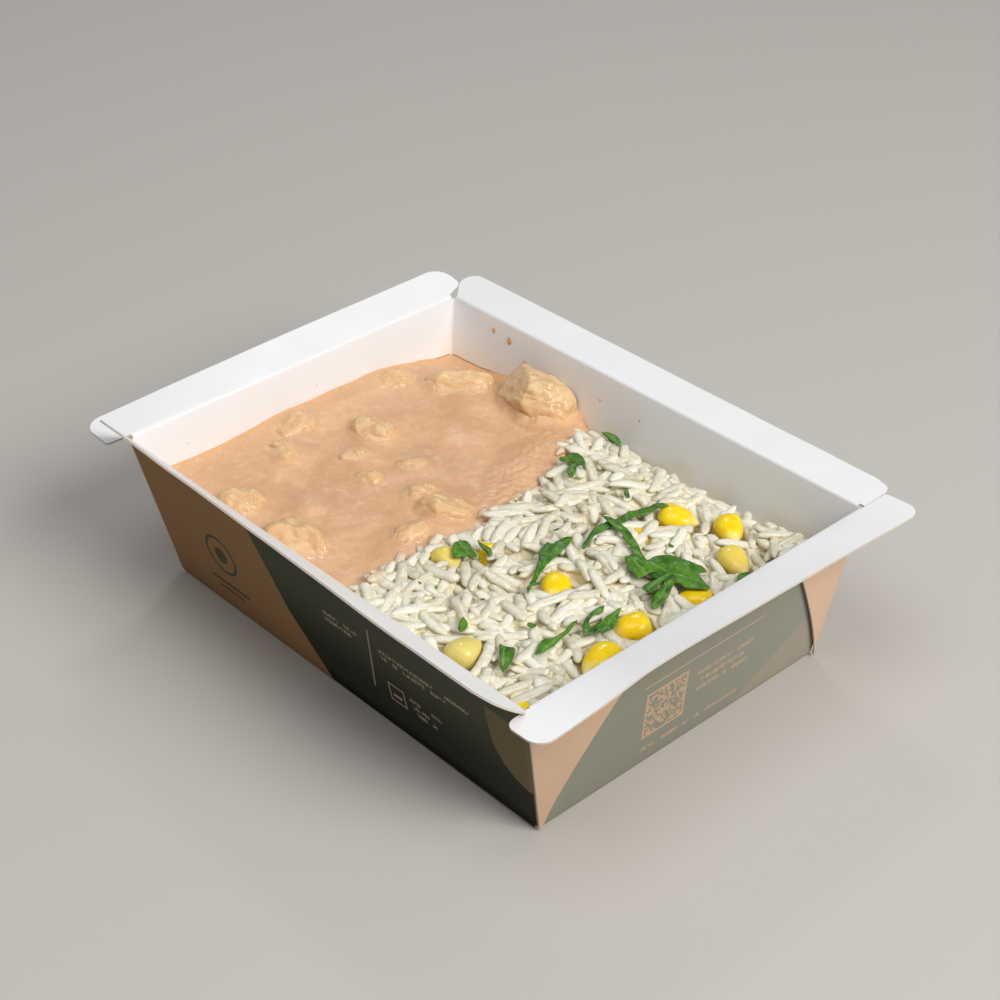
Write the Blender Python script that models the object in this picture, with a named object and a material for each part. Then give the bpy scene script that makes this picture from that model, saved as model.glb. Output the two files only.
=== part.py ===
"""Ready meal in a folded card tray: chicken in a creamy sauce at -X, rice with corn and parsley at +X.

The sizes below are in millimetres and become metres where a mesh is made. X runs along the tray, Y across
it and Z up from the surface that it stands on.
"""

import math

import bmesh
import bpy
import numpy as np

MM = 0.001

# Tray: one blank of coated card, folded up, with webbed corners glued to the end walls
OPEN_L, OPEN_W = 146.0, 108.3      # inside the fold lines of the rim
BASE_L, BASE_W = 136.9, 93.0       # outside, where it stands
TRAY_H = 42.6                      # floor to rim
CARD = 0.5                         # thickness of the card
CORNER_R = 1.3                     # outside radius of an upright corner
FOOT_R = 0.6                       # rounding of the fold at the foot
FLANGE = 11.5                      # width of the rim flanges
FLANGE_LAP = 0.38                  # how far a flange reaches back over the wall that it is folded from
RIM_DROP = 0.12                    # the wall ends this far under the top of the fold
FLANGE_PLAY = 0.1                  # past a corner, a flange starts this much further out
NUDGE = 0.01                       # sections just before and just after a corner

# How each flange is turned up about its fold: share of the fold's length from its -X or -Y end, degrees
TILT_BACK_END = ((-0.05, 3), (0.0, 5), (0.5, 11), (1.0, 13))
TILT_FRONT_END = ((-0.05, 1), (0.0, 3), (0.1, 7), (0.25, 15), (0.5, 13), (0.8, 9), (0.97, 5), (1.06, 3))
TILT_BACK_SIDE = ((0.0, 4), (0.5, 2.5), (1.0, 1))
TILT_FRONT_SIDE = ((0.0, 43), (0.35, 38), (0.6, 34), (0.8, 30), (1.0, 26))

# Both ends of each flange: reach past the corner, outer radius, inner radius, inner edge's distance out
ENDS_BACK_END = ((5.6, 4.6, 0.9, 0.4), (4.6, 5.5, 1.6, 2.6))
ENDS_FRONT_END = ((6.3, 4.4, 2.6, 0.7), (8.0, 4.6, 0.8, 0.3))
ENDS_BACK_SIDE = ((4.0, 3.6, 1.6, 5.6), (0.2, 4.2, 0.1, 0.2))
ENDS_FRONT_SIDE = ((4.2, 4.6, 1.6, 1.6), (1.6, 7.5, 1.2, 0.6))

# Corner webs, folded flat against the end walls: end, side, reach along the rim, how far each stands proud
WEBS = ((1, -1, 41.5, 0.55), (1, 1, 25.5, 1.1), (-1, -1, 26.5, 0.7), (-1, 1, 26.5, 0.7))
WEB_FOOT = 0.7                     # a web begins this far above the floor
WEB_DROP = 0.2                     # and ends this far under the rim
WEB_TIP = 0.4                      # its width at the foot
WEB_SET_IN = 0.35                  # from the corner of the tray
WEB_SINK = 0.25                    # how deep it is glued into the wall
WEB_CLOSE = 0.6                    # share by which it closes on the wall towards its free edge

# Food
GAP = 0.32                         # clearance between neighbouring solids
CUT_GAP = 0.45                     # how far a pocket is larger than the piece in it
FLOOR_Z = CARD + GAP
SAUCE_LEVEL = 29.3
RICE_LEVEL = 29.6                  # top of the bare rice core
MID_Z = 29.0                       # height at which a column of food is placed
GRAIN = (4.1, 1.3, 1.15)           # half length, half width, half thickness
GRAIN_PITCH = 8.1                  # spacing of the fused grains
GRAIN_FROM_CORN = 0.95             # least distance between their surface points
GRAIN_APART = 0.75                 # the same between two grains
GRAIN_STRAY = 1.6                  # how far a grain may stray from its place in the grid
GRAIN_SEAT = 0.55                  # height of its middle over the core, as a share of its half thickness
GRAIN_BEND = 0.012                 # how much its ends droop
GRAIN_LEAN = 0.12                  # greatest slope besides that of the core
LEAF_T = 0.34                      # thickness of a parsley leaf
LEAF_REACH = 1.9                   # a leaf clears what lies within this distance
LEAF_WAVE = 0.25                   # height of the waves along its edges
WELD = 0.002                       # points closer than this become one

# Where the sauce meets the rice: y, x
BORDER = (
    (-52, 6.0), (-40, 3.0), (-25, 0.5), (-10, 2.5), (5, 1.8),
    (20, -0.8), (34, -6.5), (45, -14.5), (52, -19.5),
)

# Chicken: x, y, top z, half length, half width, half depth, turn in degrees
CHICKEN = (
    (-29.5, 45.2, 37.8, 11.0, 5.9, 7.2, 8),
    (-53.0, 36.5, 32.4, 10.5, 4.6, 4.8, 47),
    (-66.0, 26.0, 31.6, 4.6, 5.2, 4.0, 20),
    (-65.0, -9.5, 32.3, 5.6, 5.8, 4.6, 70),
    (-57.6, -19.2, 31.7, 4.4, 3.8, 3.6, 10),
    (-45.5, -41.0, 33.0, 6.2, 5.0, 5.0, 25),
    (-22.5, -41.0, 33.2, 8.2, 5.4, 5.2, 5),
    (-48.7, 5.0, 32.0, 5.8, 4.0, 4.2, 35),
    (-42.5, -6.0, 31.1, 4.0, 2.8, 3.2, 60),
    (-32.6, -10.6, 31.0, 3.2, 2.6, 3.0, 15),
    (-29.6, 1.6, 31.4, 3.9, 3.2, 3.4, 80),
    (-18.0, -6.2, 31.7, 4.0, 3.3, 3.6, 30),
    (-7.8, -6.6, 32.6, 7.0, 4.2, 4.4, 38),
    (-5.6, -19.0, 31.6, 4.8, 3.8, 3.6, 100),
)

# Lumps wholly under the sauce: x, y, radius along x and y, height
SUNKEN = (
    (-36, 22, 8, 6, 0.9), (-66, 9, 6, 8, 0.9), (-34, -30, 4, 4, 0.7),
    (-11, 24, 8, 9, 1.0), (-16, 10, 7, 5, 0.5),
)

# Corn kernels: x, y, height above the core, half length, half width, half thickness, turn in degrees
CORN = (
    (36.2, 30.9, 1.3, 5.3, 4.5, 3.6, 205),
    (48.6, 36.2, 1.0, 5.2, 4.3, 3.6, 150),
    (58.2, 27.4, 1.2, 5.4, 4.2, 3.4, 160),
    (33.6, 20.8, -0.4, 4.6, 3.8, 3.2, 20),
    (58.6, -7.8, 1.4, 4.9, 4.6, 3.9, 60),
    (62.2, -21.2, 0.9, 6.0, 4.4, 3.7, 100),
    (39.2, -41.0, 1.0, 4.9, 4.6, 3.9, 280),
    (9.4, -20.2, 0.6, 4.6, 3.9, 3.5, 170),
    (12.2, -11.0, 0.7, 4.7, 3.9, 3.4, 10),
    (35.2, -9.6, 0.5, 4.9, 4.2, 3.4, 120),
    (60.0, 11.4, 0.2, 4.8, 4.0, 3.4, 45),
    (50.6, 3.4, -0.5, 4.2, 3.6, 3.0, 90),
    (62.2, -44.0, 0.6, 4.6, 4.2, 3.6, 200),
)

# Parsley: points along the middle (x, y), greatest half width, where along it is widest
PARSLEY = (
    (((25.3, 16.6), (25.8, 22.5), (28.2, 27.5), (30.4, 31.0)), 1.3, 0.75),
    (((23.2, 17.4), (28.0, 16.4), (34.0, 14.6), (40.0, 12.2), (44.4, 10.6)), 1.1, 0.5),
    (((44.8, 10.2), (48.6, 13.4), (52.6, 18.4), (54.4, 24.6)), 3.0, 0.5),
    (((50.2, 9.8), (53.6, 12.6), (56.6, 17.4)), 2.4, 0.5),
    (((40.0, 5.4), (42.6, 8.0), (45.2, 8.6)), 2.6, 0.5),
    (((55.4, 5.2), (56.4, 0.6), (57.2, -2.6)), 2.5, 0.45),
    (((24.6, 6.8), (24.0, 0.4), (27.2, -6.8), (32.4, -14.4)), 2.5, 0.3),
    (((6.2, -16.4), (9.6, -15.2), (13.4, -16.6)), 2.7, 0.4),
    (((-0.8, 29.0), (2.4, 27.8), (5.4, 26.0)), 2.6, 0.45),
    (((-2.4, 45.0), (-0.6, 44.4), (2.6, 43.0)), 1.3, 0.5),
    (((49.6, -16.4), (52.4, -12.8), (55.8, -12.4)), 2.7, 0.5),
    (((50.4, -29.4), (51.4, -24.6), (50.4, -17.6)), 1.5, 0.25),
    (((46.6, -39.4), (48.4, -37.6), (51.2, -36.8)), 2.6, 0.4),
    (((31.8, -37.6), (33.4, -36.4), (35.0, -36.2)), 1.7, 0.5),
    (((62.8, 19.2), (64.6, 22.0), (65.6, 25.0)), 1.8, 0.5),
)


def clear_scene():
    for obj in list(bpy.data.objects):
        bpy.data.objects.remove(obj, do_unlink=True)


def make_material(name, colour, roughness):
    material = bpy.data.materials.new(name)
    material.use_nodes = True
    shader = material.node_tree.nodes["Principled BSDF"]
    shader.inputs["Base Color"].default_value = (*colour, 1.0)
    shader.inputs["Roughness"].default_value = roughness
    shader.inputs["Metallic"].default_value = 0.0
    material.diffuse_color = (*colour, 1.0)
    return material


def make_object(name, verts, faces, material, parent=None):
    """An object from points in millimetres. Its faces are turned outwards and split into triangles."""
    mesh = bpy.data.meshes.new(name)
    mesh.from_pydata([tuple(c * MM for c in v) for v in verts], [], faces)
    mesh.materials.append(material)
    work = bmesh.new()
    work.from_mesh(mesh)
    bmesh.ops.recalc_face_normals(work, faces=work.faces)
    bmesh.ops.triangulate(work, faces=work.faces)
    work.to_mesh(mesh)
    work.free()
    obj = bpy.data.objects.new(name, mesh)
    bpy.context.scene.collection.objects.link(obj)
    obj.parent = parent
    return obj


def combine(target, helpers, operation):
    """Joins the helpers to the target or cuts them out of it, all in one Boolean, and removes them."""
    group = bpy.data.collections.new("helpers")
    bpy.context.scene.collection.children.link(group)
    for helper in helpers:
        bpy.context.scene.collection.objects.unlink(helper)
        group.objects.link(helper)
        helper.hide_render = True
        helper.display_type = "WIRE"
    modifier = target.modifiers.new("combine", "BOOLEAN")
    modifier.operation = operation
    modifier.operand_type = "COLLECTION"
    modifier.collection = group
    modifier.solver = "EXACT"
    graph = bpy.context.evaluated_depsgraph_get()
    result = bpy.data.meshes.new_from_object(target.evaluated_get(graph))
    target.modifiers.clear()
    target.data = result
    for helper in helpers:
        bpy.data.objects.remove(helper, do_unlink=True)
    bpy.data.collections.remove(group)


def tidy_mesh(obj):
    """Welds what a Boolean left a hair apart and keeps only the largest closed piece."""
    work = bmesh.new()
    work.from_mesh(obj.data)
    bmesh.ops.remove_doubles(work, verts=work.verts, dist=WELD * MM)
    bmesh.ops.dissolve_degenerate(work, dist=WELD * MM, edges=work.edges)
    bmesh.ops.triangulate(work, faces=work.faces)
    work.verts.ensure_lookup_table()
    unseen = set(work.verts)
    pieces = []
    while unseen:
        piece = {unseen.pop()}
        edge = list(piece)
        while edge:
            vert = edge.pop()
            for link in vert.link_edges:
                other = link.other_vert(vert)
                if other in unseen:
                    unseen.discard(other)
                    piece.add(other)
                    edge.append(other)
        pieces.append(piece)
    pieces.sort(key=len)
    for piece in pieces[:-1]:
        bmesh.ops.delete(work, geom=list(piece), context="VERTS")
    work.to_mesh(obj.data)
    work.free()


def blend_keys(value, keys):
    """A smooth curve through the keys (place, height), which are in order of place."""
    places = [k[0] for k in keys]
    heights = [k[1] for k in keys]
    if value <= places[0]:
        return heights[0]
    if value >= places[-1]:
        return heights[-1]
    i = max(n for n in range(len(places) - 1) if places[n] <= value)

    def slope(n):
        low, high = max(n - 1, 0), min(n + 1, len(places) - 1)
        return (heights[high] - heights[low]) / (places[high] - places[low])

    width = places[i + 1] - places[i]
    t = (value - places[i]) / width
    start = (2 * t**3 - 3 * t**2 + 1) * heights[i] + (t**3 - 2 * t**2 + t) * width * slope(i)
    return start + (3 * t**2 - 2 * t**3) * heights[i + 1] + (t**3 - t**2) * width * slope(i + 1)


def ramp(value):
    t = min(max(value, 0.0), 1.0)
    return t * t * (3 - 2 * t)


def mound(x, y, centre_x, centre_y, radius_x, radius_y):
    return math.exp(-(((x - centre_x) / radius_x) ** 2) - ((y - centre_y) / radius_y) ** 2)


# Tray walls

def half_sizes(z, outside):
    """Half the tray's length and width at height z, on the inner or the outer face of the card."""
    t = z / TRAY_H
    shift = CARD if outside else 0.0
    half_x = (BASE_L / 2 - CARD) * (1 - t) + OPEN_L / 2 * t + shift
    half_y = (BASE_W / 2 - CARD) * (1 - t) + OPEN_W / 2 * t + shift
    return half_x, half_y


def wall_ring(z, outside, inset=0.0, steps=3):
    """The tray's outline at height z, a rectangle with round corners, anticlockwise."""
    half_x, half_y = (size - inset for size in half_sizes(z, outside))
    radius = CORNER_R if outside else CORNER_R - CARD
    ring = []
    for corner, (sx, sy) in enumerate(((1, 1), (-1, 1), (-1, -1), (1, -1))):
        for step in range(steps + 1):
            angle = math.radians(90 * corner + 90 * step / steps)
            ring.append((
                sx * (half_x - radius) + radius * math.cos(angle),
                sy * (half_y - radius) + radius * math.sin(angle),
                z,
            ))
    return ring


def make_shell(material, parent):
    rings = [
        wall_ring(0.0, True, FOOT_R),
        wall_ring(FOOT_R, True),
        wall_ring(TRAY_H - RIM_DROP, True),
        wall_ring(TRAY_H - RIM_DROP, False),
        wall_ring(CARD, False),
    ]
    count = len(rings[0])
    verts = [point for ring in rings for point in ring]
    faces = [list(range(count))[::-1], list(range(4 * count, 5 * count))]
    for level in range(len(rings) - 1):
        for i in range(count):
            j = (i + 1) % count
            a, b = level * count, (level + 1) * count
            faces.append((a + i, a + j, b + j, b + i))
    return make_object("tray", verts, faces, material, parent)


# Rim flanges

def flange_span(along, length, ends):
    """How far out the flange begins and ends at this place along its fold."""
    low, high = -FLANGE_LAP, FLANGE
    for into, (past, outer_r, inner_r, start) in ((along, ends[0]), (length - along, ends[1])):
        tip = into + past
        if tip < outer_r:
            high = min(high, FLANGE - outer_r + math.sqrt(max(outer_r**2 - (outer_r - tip) ** 2, 0.0)))
        if into < 0:
            low = start * min(-into / past, 1.0) + FLANGE_PLAY
            if tip < inner_r:
                low += inner_r - math.sqrt(max(inner_r**2 - (inner_r - tip) ** 2, 0.0))
    return low, high


def flange_places(length, ends, steps=3, middle=6):
    """Places along the fold: close together round both tips, even in between."""
    places = set()
    for flip, (past, outer_r, inner_r, _) in ((False, ends[0]), (True, ends[1])):
        marks = [-past + outer_r * (1 - math.cos(math.pi / 2 * k / steps)) for k in range(steps + 1)]
        marks += [-past + inner_r * (1 - math.cos(math.pi / 2 * k / steps)) for k in range(steps + 1)]
        marks += [-NUDGE, NUDGE]
        places.update(round(length - m if flip else m, 3) for m in marks)
    inner = [length * (k + 1) / (middle + 1) for k in range(middle)]
    places.update(round(m, 3) for m in inner)
    ordered = sorted(places)
    return [p for n, p in enumerate(ordered) if n == 0 or p - ordered[n - 1] > 1.5 * NUDGE]


def make_flange(start, along, out, length, tilts, ends, material):
    """A strip of card that turns about its fold by the angles in tilts: (share of the length, degrees)."""
    verts = []
    places = flange_places(length, ends)
    for place in places:
        angle = math.radians(blend_keys(place / length, tilts))
        low, high = flange_span(place, length, ends)
        for depth in (0.0, -CARD):
            for reach in (low, high):
                outward = reach * math.cos(angle) - depth * math.sin(angle)
                verts.append((
                    start[0] + along[0] * place + out[0] * outward,
                    start[1] + along[1] * place + out[1] * outward,
                    TRAY_H + reach * math.sin(angle) + depth * math.cos(angle),
                ))
    faces = [(0, 1, 3, 2)]
    for n in range(len(places) - 1):
        a, b = 4 * n, 4 * n + 4
        faces += [(a, b, b + 1, a + 1), (a + 2, a + 3, b + 3, b + 2)]
        faces += [(a, a + 2, b + 2, b), (a + 1, b + 1, b + 3, a + 3)]
    last = 4 * len(places) - 4
    faces.append((last, last + 2, last + 3, last + 1))
    return make_object("flange", verts, faces, material)


def make_flanges(material):
    half_x, half_y = OPEN_L / 2 + CARD, OPEN_W / 2 + CARD
    long_side, short_side = 2 * half_x, 2 * half_y
    back_end = make_flange(
        (-half_x, -half_y), (0, 1), (-1, 0), short_side, TILT_BACK_END, ENDS_BACK_END, material,
    )
    front_end = make_flange(
        (half_x, -half_y), (0, 1), (1, 0), short_side, TILT_FRONT_END, ENDS_FRONT_END, material,
    )
    back_side = make_flange(
        (-half_x, half_y), (1, 0), (0, 1), long_side, TILT_BACK_SIDE, ENDS_BACK_SIDE, material,
    )
    front_side = make_flange(
        (-half_x, -half_y), (1, 0), (0, -1), long_side, TILT_FRONT_SIDE, ENDS_FRONT_SIDE, material,
    )
    return [back_end, front_end, back_side, front_side]


# Corner webs: each is folded flat against an end wall, a triangle that rises from the foot of its corner

def make_web(end, side, reach, proud, material):
    """A web on the wall at end * X, beside the corner at side * Y, that reaches this far along the rim."""
    foot, top = WEB_FOOT, TRAY_H - WEB_DROP
    outline = []
    for z, back in ((foot, WEB_TIP), (top, reach)):
        _, half_y = half_sizes(z, True)
        outline.append((side * (half_y - back), z))
    for z in (top, foot):
        _, half_y = half_sizes(z, True)
        outline.append((side * (half_y - WEB_SET_IN), z))
    verts = []
    for lift in (-WEB_SINK, proud):
        for y, z in outline:
            half_x, half_y = half_sizes(z, True)
            close = 1.0 - WEB_CLOSE * ramp(1 - (half_y - abs(y)) / reach)
            level = lift * close if lift > 0 else lift
            verts.append((end * (half_x + level), y, z))
    faces = [(0, 1, 2, 3), (4, 7, 6, 5)] + [(i, i + 4, (i + 1) % 4 + 4, (i + 1) % 4) for i in range(4)]
    return make_object("web", verts, faces, material)


def make_tray(material, parent):
    tray = make_shell(material, parent)
    combine(tray, [make_web(*web, material) for web in WEBS], "UNION")
    for flange in make_flanges(material):
        combine(tray, [flange], "UNION")
    tidy_mesh(tray)
    return tray


# Tops of the sauce and of the bare rice core

def sauce_top(x, y):
    level = SAUCE_LEVEL
    level -= 3.4 * ramp((y - 20) / 28) * ramp((-40 - x) / 22)
    level -= 1.2 * ramp((y - 38) / 12)
    level += 1.0 * mound(x, y, -73, 6, 18, 26)
    level += 0.2 * math.sin(0.21 * x + 1.3) * math.sin(0.17 * y)
    for centre_x, centre_y, radius_x, radius_y, height in SUNKEN:
        level += height * mound(x, y, centre_x, centre_y, radius_x, radius_y)
    for centre_x, centre_y, _, half_l, half_w, _, _ in CHICKEN:
        reach = (half_l + half_w) / 2 + 2.5
        level += 0.9 * mound(x, y, centre_x, centre_y, reach, reach)
    return level


def rice_top(x, y):
    level = RICE_LEVEL
    level -= 4.6 * ramp((y - 37) / 15)
    level += 0.9 * mound(x, y, 34, 2, 24, 22)
    level += 3.6 * mound(x, y, 62, 42, 8, 7)
    level -= 1.0 * ramp((x - 60) / 12) * ramp((30 - y) / 10)
    level -= 0.8 * ramp((6 - x) / 14)
    level += 0.55 * math.sin(0.33 * x + 0.6) * math.sin(0.29 * y + 0.4)
    return level


def column(across, share, z, is_sauce):
    """A point of the food: across is -1 to 1 over the width, share runs 0 to 1 from the end wall inwards."""
    half_x, half_y = (size - GAP for size in half_sizes(z, False))
    mid_half_y = half_sizes(MID_Z, False)[1] - GAP
    border = blend_keys(across * mid_half_y, BORDER)
    if is_sauce:
        x = -half_x * (1 - share) + (border - GAP / 2) * share
    else:
        x = half_x * (1 - share) + (border + GAP / 2) * share
    return x, across * half_y, z


def make_filling(name, top, is_sauce, count_x, count_y, material, parent):
    """A solid from the floor of the tray up to the height field top, between the walls and the border."""
    verts = []
    for j in range(count_y + 1):
        across = 2 * j / count_y - 1
        for i in range(count_x + 1):
            share = i / count_x
            x, y, _ = column(across, share, MID_Z, is_sauce)
            verts.append(column(across, share, top(x, y), is_sauce))
    row = count_x + 1
    faces = []
    for j in range(count_y):
        for i in range(count_x):
            a = j * row + i
            faces.append((a, a + 1, a + row + 1, a + row))
    rim = list(range(row)) + [j * row + count_x for j in range(1, count_y + 1)]
    rim += [count_y * row + i for i in range(count_x - 1, -1, -1)]
    rim += [j * row for j in range(count_y - 1, 0, -1)]
    first = len(verts)
    for index in rim:
        j, i = divmod(index, row)
        verts.append(column(2 * j / count_y - 1, i / count_x, FLOOR_Z, is_sauce))
    for n in range(len(rim)):
        m = (n + 1) % len(rim)
        faces.append((rim[n], first + n, first + m, rim[m]))
    faces.append(tuple(range(first, first + len(rim))))
    return make_object(name, verts, faces, material, parent)


# Round pieces

def ball_faces(sides, rings):
    faces = [(0, 1 + (i + 1) % sides, 1 + i) for i in range(sides)]
    for ring in range(rings - 1):
        for i in range(sides):
            a, b = 1 + ring * sides, 1 + (ring + 1) * sides
            faces.append((a + i, a + (i + 1) % sides, b + (i + 1) % sides, b + i))
    last = 1 + rings * sides
    faces += [(last - sides + i, last - sides + (i + 1) % sides, last) for i in range(sides)]
    return faces


def ball_directions(sides, rings):
    """Unit directions over a ball, from one pole on the X axis to the other."""
    found = [(1.0, 0.0, 0.0)]
    for ring in range(rings):
        polar = math.pi * (ring + 1) / (rings + 1)
        for i in range(sides):
            turn = 2 * math.pi * i / sides
            wide = math.sin(polar)
            found.append((math.cos(polar), wide * math.cos(turn), wide * math.sin(turn)))
    found.append((-1.0, 0.0, 0.0))
    return found


def place(points, centre, turn):
    c, s = math.cos(math.radians(turn)), math.sin(math.radians(turn))
    return [(centre[0] + c * x - s * y, centre[1] + s * x + c * y, centre[2] + z) for x, y, z in points]


def keep_inside(points):
    """Flattens a piece against the walls, where it would cross them."""
    kept = []
    for x, y, z in points:
        half_x, half_y = (size - GAP for size in half_sizes(z, False))
        kept.append((min(max(x, -half_x), half_x), min(max(y, -half_y), half_y), z))
    return kept


def chunk_points(number, sides, rings, grow=0.0):
    """A torn piece of chicken: a ball with shallow lobes, and ridges that run along its fibres."""
    x, y, top_z, half_l, half_w, half_d, turn = CHICKEN[number]
    draw = np.random.RandomState(40 + number)
    lobes = [(draw.normal(size=3), draw.uniform(0, 6.28), draw.uniform(0.05, 0.11)) for _ in range(5)]
    points = []
    for dx, dy, dz in ball_directions(sides, rings):
        swell = 1.0
        for axis, phase, height in lobes:
            swell += height * math.sin(2.3 * (axis[0] * dx + axis[1] * dy + axis[2] * dz) + phase)
        square = (abs(dx) ** 2.6 + abs(dy) ** 2.6 + abs(dz) ** 2.6) ** (-1 / 2.6)
        swell *= square * 0.94
        points.append((
            dx * (half_l * swell + grow), dy * (half_w * swell + grow), dz * (half_d * swell + grow),
        ))
    highest = max(p[2] for p in points) - grow
    points = place(points, (x, y, top_z - highest), turn)
    return points if grow else keep_inside(points)


def kernel_points(number, sides, rings, grow=0.0):
    """A corn kernel: blunt at the crown, narrower and flatter towards the tip that held it to the cob."""
    x, y, rise, half_l, half_w, half_t, turn = CORN[number]
    points = []
    for dx, dy, dz in ball_directions(sides, rings):
        taper = 0.80 + 0.20 * math.sin(dx * math.pi / 2)
        reach = math.copysign(abs(dx) ** 0.88, dx)
        points.append((
            reach * half_l + dx * grow, dy * (half_w * taper + grow), dz * (half_t * taper + grow),
        ))
    points = place(points, (x, y, rice_top(x, y) + rise), turn)
    return points if grow else keep_inside(points)


def grain_points(x, y, turn, lean, half, sides=5, rings=3):
    """A grain of rice that follows the slope of the core under it."""
    half_l, half_w, half_t = half
    c, s = math.cos(turn), math.sin(turn)
    step = 2.0
    ahead = rice_top(x + c * step, y + s * step)
    behind = rice_top(x - c * step, y - s * step)
    slope = (ahead - behind) / (2 * step) + lean
    base = rice_top(x, y) + GRAIN_SEAT * half_t
    points = []
    for dx, dy, dz in ball_directions(sides, rings):
        along, side = dx * half_l, dy * half_w
        up = dz * half_t + along * slope - GRAIN_BEND * along * along
        points.append((x + c * along - s * side, y + s * along + c * side, base + up))
    return points


# Rice heap

def inside_rice(points):
    """Whether all these points stay clear of the walls and of the sauce."""
    for x, y, z in points:
        half_x, half_y = half_sizes(z, False)
        if x > half_x - GAP or abs(y) > half_y - GAP:
            return False
        if x < blend_keys(y, BORDER) + GAP and z < sauce_top(x, y) + 2 * GAP:
            return False
    return True


def closest(points, others):
    """The least distance between two sets of points."""
    if not len(others):
        return math.inf
    return np.min(np.linalg.norm(points[:, None] - others[None], axis=2))


def place_grains():
    """Grains on a jittered grid, without those that would touch corn, wall, sauce or each other."""
    draw = np.random.RandomState(7)
    kernels = np.array([p for n in range(len(CORN)) for p in kernel_points(n, 14, 9)])
    grains = []
    taken = np.zeros((0, 3))
    first_x = min(x for _, x in BORDER) - GRAIN_PITCH
    first_y = -OPEN_W / 2 + GRAIN_PITCH / 2
    row_pitch = 0.93 * GRAIN_PITCH
    rows = int(OPEN_W / row_pitch) + 1
    columns = int((OPEN_L / 2 - first_x) / GRAIN_PITCH) + 1
    for j in range(rows):
        for i in range(columns):
            x = first_x + (i + 0.5 * (j % 2)) * GRAIN_PITCH + draw.uniform(-GRAIN_STRAY, GRAIN_STRAY)
            y = first_y + j * row_pitch + draw.uniform(-GRAIN_STRAY, GRAIN_STRAY)
            size = draw.uniform(0.85, 1.1)
            turns = draw.uniform(0, math.pi, size=6)
            lean = draw.uniform(-GRAIN_LEAN, GRAIN_LEAN)
            for turn in turns:
                half = (GRAIN[0] * size, GRAIN[1] * size, GRAIN[2])
                fine = np.array(grain_points(x, y, turn, lean, half, 8, 9))
                if not inside_rice(fine):
                    continue
                if closest(fine, kernels) < GRAIN_FROM_CORN or closest(fine, taken) < GRAIN_APART:
                    continue
                grains.append((x, y, turn, lean, half))
                taken = np.vstack([taken, fine])
                break
    return grains, taken


def make_rice(materials, parent):
    rice = make_filling("rice", rice_top, False, 14, 19, materials["rice"], parent)
    cutters = [
        make_object("cutter", kernel_points(n, 7, 4, CUT_GAP), ball_faces(7, 4), materials["rice"])
        for n in range(len(CORN))
    ]
    combine(rice, cutters, "DIFFERENCE")
    grains, surface = place_grains()
    solids = [
        make_object("grain", grain_points(*grain), ball_faces(5, 3), materials["rice"]) for grain in grains
    ]
    combine(rice, solids, "UNION")
    tidy_mesh(rice)
    return surface


# Parsley: a map of the highest point of the food, on which each leaf is laid

class HeightMap:
    STEP = 0.5

    def __init__(self):
        self.low = (-OPEN_L / 2, -OPEN_W / 2)
        self.shape = (int(OPEN_L / self.STEP) + 1, int(OPEN_W / self.STEP) + 1)
        self.z = np.zeros(self.shape)
        for i in range(self.shape[0]):
            for j in range(self.shape[1]):
                x, y = self.low[0] + i * self.STEP, self.low[1] + j * self.STEP
                on_rice = x > blend_keys(y, BORDER)
                self.z[i, j] = rice_top(x, y) if on_rice else sauce_top(x, y)

    def add(self, points):
        for x, y, z in points:
            i = int(round((x - self.low[0]) / self.STEP))
            j = int(round((y - self.low[1]) / self.STEP))
            self.z[i, j] = max(self.z[i, j], z)

    def highest(self, x, y, radius):
        i = int(round((x - self.low[0]) / self.STEP))
        j = int(round((y - self.low[1]) / self.STEP))
        r = int(math.ceil(radius / self.STEP))
        return float(self.z[max(i - r, 0):i + r + 1, max(j - r, 0):j + r + 1].max())


def leaf_line(points, count):
    """Evenly spaced places along a smooth line through the points."""
    marks = [(n / (len(points) - 1), p) for n, p in enumerate(points)]
    line = []
    for n in range(count + 1):
        t = n / count
        x = blend_keys(t, [(m, p[0]) for m, p in marks])
        y = blend_keys(t, [(m, p[1]) for m, p in marks])
        line.append((x, y))
    return line


def leaf_width(t, widest):
    rise = t / widest if t < widest else (1 - t) / (1 - widest)
    return max(math.sin(rise * math.pi / 2) ** 0.8, 0.12)


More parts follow.
